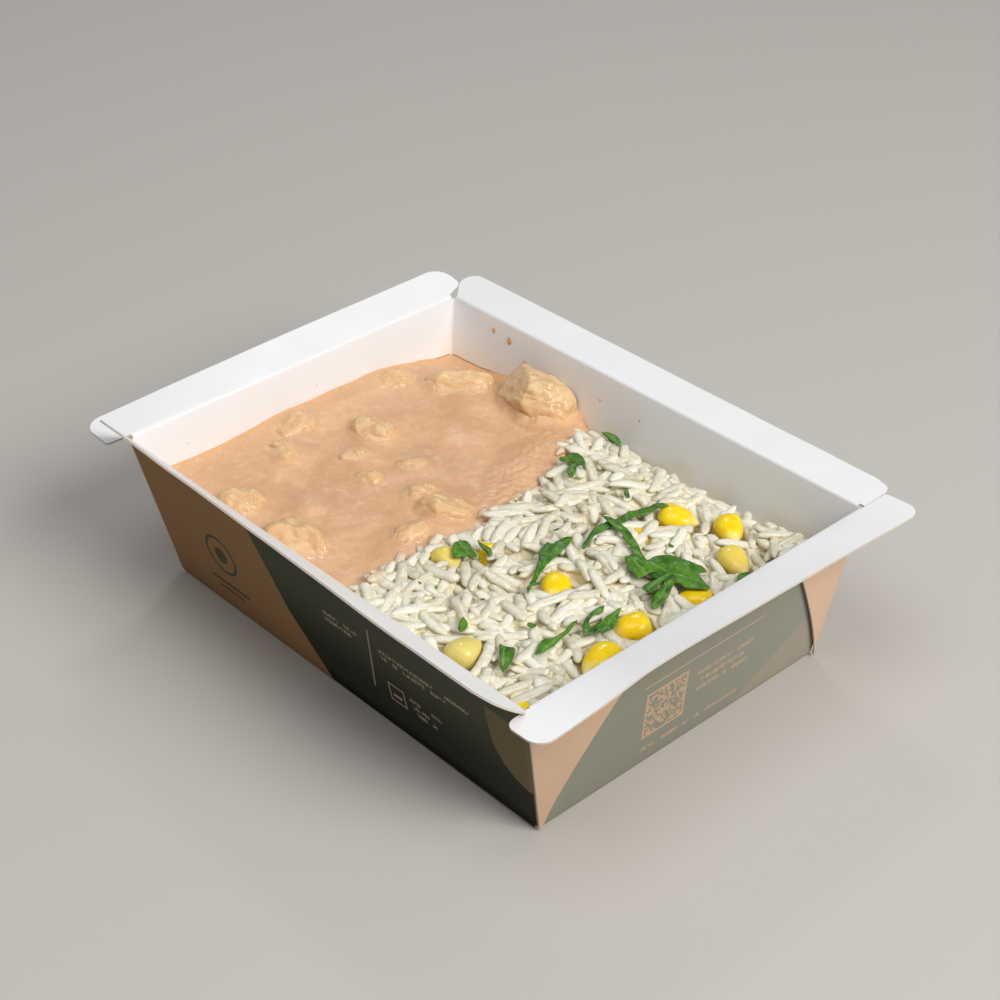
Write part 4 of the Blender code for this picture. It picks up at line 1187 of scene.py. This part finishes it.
class Grain:
    """One grain at rest, with the line of its top."""

    def __init__(self, draw, reliefs, x, y, turn, half, stand, sink):
        half_l, half_w, half_t = half
        slope, base = settle(reliefs[0], x, y, turn, half_l, half_w, stand)
        centre = (x, y, base + half_t - sink)
        self.top = centre[2] + half_t + abs(slope) * half_l * 0.5
        t, w, self.x, self.y = under_grain(x, y, turn, half_l, half_w, 0.95, np.linspace(-0.8, 0.8, 5), 15)
        self.crest = centre[2] + slope * t + half_t * np.sqrt(1 - (w / half_w) ** 2)
        bend = draw.normal() * (1.6 if draw.uniform() < 0.06 else 0.5)
        self.shape = grain_shape(centre, turn, slope, half, bend, draw.uniform() < 0.45)
        self.tint = draw.uniform()
        edge = blend_keys(y, BORDER) + 3.5 - x + 2.5 * rough(x, y, 0, 5.0, 2.0)
        self.stain = ramp(edge / 5.0) * draw.uniform(0.35, 1.0)
        self.reliefs = reliefs

    def rest(self):
        """Adds the grain to the heap."""
        for heights in self.reliefs:
            heights.lift(self.x, self.y, self.crest)
        return self


def on_corn(x, y, turn, half_l):
    """Whether a grain would lie across a kernel that shows."""
    for share in (-0.9, -0.45, 0.0, 0.45, 0.9):
        px, py = x + share * half_l * math.cos(turn), y + share * half_l * math.sin(turn)
        for number, (centre_x, centre_y, _, half_x, half_y, _, way) in enumerate(CORN, 1):
            c, s = math.cos(math.radians(way)), math.sin(math.radians(way))
            dx, dy = px - centre_x, py - centre_y
            reach = math.hypot((c * dx + s * dy) / half_x, (c * dy - s * dx) / half_y)
            if reach < 0.9 and number not in COVERED:
                return True
    return False


def place_grains(relief, fill):
    """Lets grains settle one by one, from the bottom of the heap up to its outline."""
    draw = np.random.RandomState(11)
    grains = []
    for _ in range(TRIES):
        y = draw.uniform(-OPEN_W / 2 + 1.5, OPEN_W / 2 - 1.5)
        border = blend_keys(y, BORDER)
        x = draw.uniform(border - 1.8, OPEN_L / 2 - 1.5)
        turn = draw.uniform(0, math.pi)
        size = draw.choice((0.62, 0.9, 1.05, 1.2, 1.32), p=(0.14, 0.22, 0.32, 0.21, 0.11))
        half = (
            GRAIN[0] * 1.17 * size * draw.uniform(0.93, 1.07), GRAIN[1] * draw.uniform(0.88, 1.12),
            GRAIN[2] * draw.uniform(0.62, 0.86),
        )
        stand = draw.choice((0.0, 1.0), p=(0.8, 0.2)) * draw.uniform(-0.6, 0.6)
        limit = rice_top(x, y) + GRAINS_UP + 1.1 * draw.uniform() ** 3 - 1.3 * ramp((border + 5 - x) / 6)
        ends = [(x + k * math.cos(turn) * half[0], y + k * math.sin(turn) * half[0]) for k in (-1, 1)]
        half_x, half_y = inner_half(rice_top(x, y) - 2.0)
        if any(abs(ey) > half_y - 0.9 or ex > half_x - 0.9 for ex, ey in ends):
            continue
        if min(ex for ex, _ in ends) < border - 3.6 or relief.at(x, y) > limit or on_corn(x, y, turn, half[0]):
            continue
        grain = Grain(draw, (relief, fill), x, y, turn, half, stand, SINK)
        if grain.top <= limit:
            grains.append(grain.rest())
    for x0, y0, x1, y1 in LONG_GRAINS:
        half = (math.hypot(x1 - x0, y1 - y0) / 2, GRAIN[1] * draw.uniform(0.98, 1.1), GRAIN[2] * 0.8)
        at = ((x0 + x1) / 2, (y0 + y1) / 2, math.atan2(y1 - y0, x1 - x0))
        grains.append(Grain(draw, (relief, fill), *at, half, 0.0, LONG_SINK).rest())
    fill.z = np.maximum(soften(fill.z, 8) - HUG, soften(fill.z, 1) - 2.0 * HUG)
    return [
        g for g in grains
        if (g.crest > fill.at(g.x, g.y)).any() and (g.crest + COVER > relief.at(g.x, g.y)).any()
    ]


def make_rice(material, core_material, relief):
    fill = Relief(rice_core_top)
    grains = place_grains(relief, fill)
    verts, faces = join(g.shape for g in grains)
    x, y, z = np.array(verts).T
    make_piece(
        "rice_grains", verts, faces, [material], "rice", ["rice"],
        tint=[g.tint for g in grains for _ in g.shape[0]], stain=[g.stain for g in grains for _ in g.shape[0]],
        # painted shade, yellower and darker on grains deeper in the heap
        depth=np.clip((relief.at(x, y) - z) / PAINTED_SHADE_DEPTH, 0.0, 1.0),
    )
    verts, stains = [], []
    half_x, half_y = inner_half(RICE_LEVEL - CORE_DROP)
    for j in range(CORE_ROWS + 1):
        y = (2 * j / CORE_ROWS - 1) * half_y
        border = blend_keys(y, BORDER)
        for i in range(CORE_COLUMNS + 1):
            share = i / CORE_COLUMNS
            x = half_x * (1 - share) + (border - 1.0) * share
            z = max(rice_core_top(x, y), float(fill.at(x, y))) + 0.2 * rough(x, y, 0, 1.6, 3.0)
            z -= 1.5 * ramp((share - 0.97) / 0.03)
            wide, deep = (half - 0.05 for half in inner_half(z))
            verts.append((x * wide / half_x if x > 0 else x, y * deep / half_y, z))
            stains.append(ramp((border + 3.0 - x) / 5.0))
    faces = close_heap(verts, CORE_COLUMNS + 1, 1)
    make_piece("rice_core", verts, faces, [core_material], "rice", ["rice"], 60, stain=stains)


def rice_material():
    shade = Shade("rice", (0.84, 0.82, 0.72), 0.3, 1.42)
    where = shade.place()
    clouds = shade.noise(where, 1.8)
    colour = shade.coat(
        shade.mix(shade.attribute("tint"), (0.61, 0.56, 0.40), (0.84, 0.81, 0.68)),
        (clouds.band(0.35, 0.65, 0.0, 0.5), (0.87, 0.85, 0.76)),
        # On the next line: painted shade on grains deep in the heap, then sauce stain.
        (shade.attribute("depth") * 0.8, (0.79, 0.68, 0.39)), (shade.attribute("stain"), STAIN),
    )
    return shade.finish(colour, clouds.band(0.3, 0.7, 0.16, 0.34), (shade.noise(where, 1.2, 2.0), 0.10, 0.4))


def core_rice_material():
    shade = Shade("rice_core", (0.72, 0.66, 0.50), 0.4, 1.42)
    clouds = shade.noise(shade.place(), 1.4, 4.0)
    # The core shows only in the gaps between grains: its colours are rice with painted shade, yellower than the
    # grains on top.
    colour = shade.mix(clouds, (0.76, 0.67, 0.42), (0.84, 0.78, 0.60))
    return shade.finish(shade.mix(shade.attribute("stain"), colour, STAIN), 0.4, (clouds, 0.5, 0.8))


# Parsley

LEAF_STEP = 0.55                   # between the points of a leaf
SHARP_TURN = 95                    # corners of an outline that turn by more degrees than this stay sharp


def smooth_outline(points):
    """Cuts the corners of a closed outline twice, but keeps the sharp ones sharp."""
    for _ in range(2):
        made = []
        for n, point in enumerate(points):
            before, here, after = (Vector(p) for p in (points[n - 1], point, points[(n + 1) % len(points)]))
            cut = 0.25 if (here - before).angle(after - here, 0.0) < math.radians(SHARP_TURN) else 0.06
            made += [tuple(here.lerp(before, cut)), tuple(here.lerp(after, cut))]
        points = made
    return points


def to_edge(point, loop):
    """The distance from a point to a closed outline."""
    best = math.inf
    for n, end in enumerate(loop):
        foot, share = geometry.intersect_point_line(point, loop[n - 1], end)
        best = min(best, (point - (foot.to_2d() if 0 <= share <= 1 else end)).length)
    return best


def fill_outline(outline):
    """Triangles inside a closed outline, fine enough to drape over the rice."""
    loop = [Vector(p) for p in outline]
    low, high = ([pick(p[k] for p in loop) for k in (0, 1)] for pick in (min, max))
    columns, rows = (int((high[k] - low[k]) / LEAF_STEP) + 1 for k in (0, 1))
    grid = [
        Vector((low[0] + (i + 0.5 * (j % 2)) * LEAF_STEP, low[1] + j * LEAF_STEP * 0.87))
        for j in range(rows) for i in range(columns)
    ]
    inner = [point for point in grid if to_edge(point, loop) > 0.3 * LEAF_STEP]
    edges = [(n, (n + 1) % len(loop)) for n in range(len(loop))]
    points, _, faces, _, _, _ = geometry.delaunay_2d_cdt(loop + inner, edges, [], 1, 1e-5)
    return [tuple(p) for p in points], [tuple(f) for f in faces]


def make_leaf(name, outline, spine, relief, material, replaced):
    """A leaf with this outline, laid on the food, folded along its spine and curled at its edges."""
    points, faces = fill_outline(smooth_outline(outline))
    first, last = (Vector(end) for end in spine)
    run = (last - first).length
    way = (last - first) / run
    heights = np.array([relief.highest(x, y, 0.9) for x, y in points])
    plane = np.array(points)
    middle = np.quantile(heights, 0.75)
    ribs, verts = [], []
    for n, (x, y) in enumerate(points):
        near = np.hypot(plane[:, 0] - x, plane[:, 1] - y) < 1.7
        drape = max(heights[near].mean() + 0.25, heights[n] - 0.1)
        off = Vector((x, y)) - first
        t = off.dot(way) / run
        d = way.x * off.y - way.y * off.x
        vein = abs(math.sin(4.5 * (t * run * 0.45 - abs(d) * 0.6)))
        rib = max(math.exp(-((d / 0.22) ** 2)), 0.5 * math.exp(-((vein / 0.16) ** 2)) * min(abs(d), 1.0))
        z = 0.7 * drape + 0.3 * middle + 0.12
        z += 0.35 * min(abs(d) / 2.0, 1.0) * (0.6 + 0.8 * rough(x, y, 0, 3.0, 8.0))
        z += 0.22 * rough(x, y, 0, 1.7, 12.0) - 0.10 * rib
        ribs.append(rib)
        verts.append((x, y, max(z, heights[n] + 0.05)))
    leaf = make_piece(name, verts, faces, [material], "parsley", replaced, rib=ribs)
    if sum(p.normal.z for p in leaf.data.polygons) < 0:
        leaf.data.flip_normals()
    thicken(leaf, LEAF_T, 1)
    relief.lift(plane[:, 0], plane[:, 1], np.array(verts)[:, 2] + LEAF_T)


def parsley_material():
    shade = Shade("parsley", (0.07, 0.26, 0.015), 0.38)
    where = shade.place()
    fine = shade.noise(where, 0.5)
    colour = shade.coat(
        shade.mix(shade.noise(where, 3.0).band(0.3, 0.7), (0.022, 0.095, 0.005), (0.088, 0.245, 0.010)),
        # Painted highlights: fine flecks of lighter green.
        (fine.band(0.55, 0.75, 0.0, 0.35), (0.15, 0.34, 0.035)),
        (shade.attribute("rib") * 0.55, (0.24, 0.42, 0.09)),
    )
    return shade.finish(colour, fine.band(0.3, 0.7, 0.24, 0.42), (fine, 0.08, 0.5))


def make_bits(material, relief):
    """Small bits of parsley and of spice on the rice."""
    draw = np.random.RandomState(5)
    bits = list(BITS)
    for _ in range(11):
        y = draw.uniform(-46, 46)
        x = draw.uniform(blend_keys(y, BORDER) + 2, 66)
        bits.append((x, y, draw.uniform(0.2, 0.45), draw.uniform(0.12, 0.25), draw.uniform(0, 180)))
    shapes = []
    for x, y, half_l, half_w, turn in bits:
        way = math.radians(turn)
        slope, base = settle(relief, x, y, way, half_l, half_w, 0.0)
        half = (half_l, half_w, 0.13)
        shapes.append(grain_shape((x, y, base + 0.1), way, slope, half, 0.2 * half_l, False, 8, 6))
    make_piece("parsley_bits", *join(shapes), [material], "parsley")


def make_drops(material):
    """Splashes of sauce on the inside of the +Y wall."""
    sides, rings = 12, 3
    shapes = []
    for x, z, radius in DROPS:
        verts = []
        for ring in range(rings + 1):
            polar = ring * math.pi / 8
            reach, bulge = radius * math.cos(polar), 0.45 * radius * math.sin(polar)
            for n in range(sides):
                angle = 2 * math.pi * n / sides
                dx, dz = reach * math.cos(angle), 1.25 * reach * math.sin(angle) * (1 - 0.2 * math.sin(angle))
                verts.append((x + dx, inner_half(z + dz)[1] + 0.05 - bulge, z + dz))
        verts.append((x, inner_half(z)[1] - 0.44 * radius, z))
        pairs = [(n, (n + 1) % sides) for n in range(sides)]
        faces = [
            (a + n, a + m, a + sides + m, a + sides + n) for a in range(0, rings * sides, sides) for n, m in pairs
        ]
        last = rings * sides
        faces += [(last + n, last + m, last + sides) for n, m in pairs] + [tuple(range(sides))[::-1]]
        shapes.append((verts, faces))
    make_piece("sauce_drops", *join(shapes), [material], "sauce", sharp=60)


def make_food():
    relief = Relief(lambda x, y: max(rice_core_top(x, y), sauce_top(x, y) - 30.0 * (x > blend_keys(y, BORDER))))
    meat, runny, green = chicken_material(), sauce_material(), parsley_material()
    shapes = [chicken_shape(number) for number in range(1, CHICKEN_COUNT + 1)]
    grid = make_sauce(runny, shapes)
    make_drops(runny)
    for number, shape in enumerate(shapes, 1):
        make_chicken(number, shape, grid, meat)
    make_corn(corn_material(), relief)
    make_rice(rice_material(), core_rice_material(), relief)
    for number, (replaced, spine, outline) in enumerate(LEAVES, 1):
        names = [f"parsley_{n}" for n in replaced]
        make_leaf(f"parsley_leaf_{number}", outline, spine, relief, green, names)
    make_bits(green, relief)


# Camera, floor and light

def make_camera():
    turn, rise, roll = (math.radians(a) for a in (CAMERA_TURN, CAMERA_RISE, CAMERA_ROLL))
    back = Vector((math.sin(turn) * math.cos(rise), -math.cos(turn) * math.cos(rise), math.sin(rise)))
    right = (-back).cross(Vector((0, 0, 1))).normalized()
    up = right.cross(-back)
    tilted_right = right * math.cos(roll) + up * math.sin(roll)
    tilted_up = up * math.cos(roll) - right * math.sin(roll)
    data = bpy.data.cameras.new("camera")
    data.lens, data.sensor_width, data.clip_start = CAMERA_LENS, 36.0, 0.01
    matrix = Matrix((tilted_right, tilted_up, back)).transposed().to_4x4()
    matrix.translation = Vector(to_frame(CAMERA_AT))
    camera = add_object("camera", data)
    camera.matrix_world = matrix
    bpy.context.scene.camera = camera


def make_light(name, at, towards, size, power, colour):
    data = bpy.data.lights.new(name, "AREA")
    data.shape, data.size, data.energy, data.color = "DISK", size, power, colour
    light = add_object(name, data)
    light.location = at
    light.rotation_euler = (Vector(towards) - Vector(at)).to_track_quat("-Z", "Y").to_euler()


def make_studio():
    data = bpy.data.meshes.new("floor")
    data.from_pydata([(x, y, 0) for x, y in ((-3, -3), (3, -3), (3, 3), (-3, 3))], [], [(0, 1, 2, 3)])
    data.materials.append(Shade("floor", (0.54, 0.52, 0.49), 0.8).material)
    floor = add_object("floor", data)
    floor.location.z = -0.0002
    make_light("key", (1.03, 0.08, 0.92), (0, 0, 0.02), 0.8, 16.0, (1.0, 0.99, 0.97))
    make_light("top", (0.05, -0.32, 1.25), (0, 0, 0.02), 0.9, 4.2, (1.0, 1.0, 1.0))
    make_light("glint", (-0.52, 0.47, 0.72), (0, 0, 0.03), 0.12, 0.75, (1.0, 1.0, 1.0))
    world = bpy.data.worlds.new("studio")
    bpy.context.scene.world = world
    world.use_nodes = True
    backdrop = world.node_tree.nodes["Background"].inputs
    backdrop["Color"].default_value = (1.0, 1.0, 1.0, 1.0)
    backdrop["Strength"].default_value = 0.20


def main():
    bpy.context.scene.view_settings.view_transform = "Standard"
    make_camera()
    make_studio()
    outside = {
        "plain": kraft_material("kraft", web_print),
        "front": kraft_material("front_print", front_print),
        "end": kraft_material("end_print", end_print),
    }
    edge = edge_material()
    make_tray(white_material(), outside, edge)
    make_webs((outside["plain"], edge))
    make_food()


main()
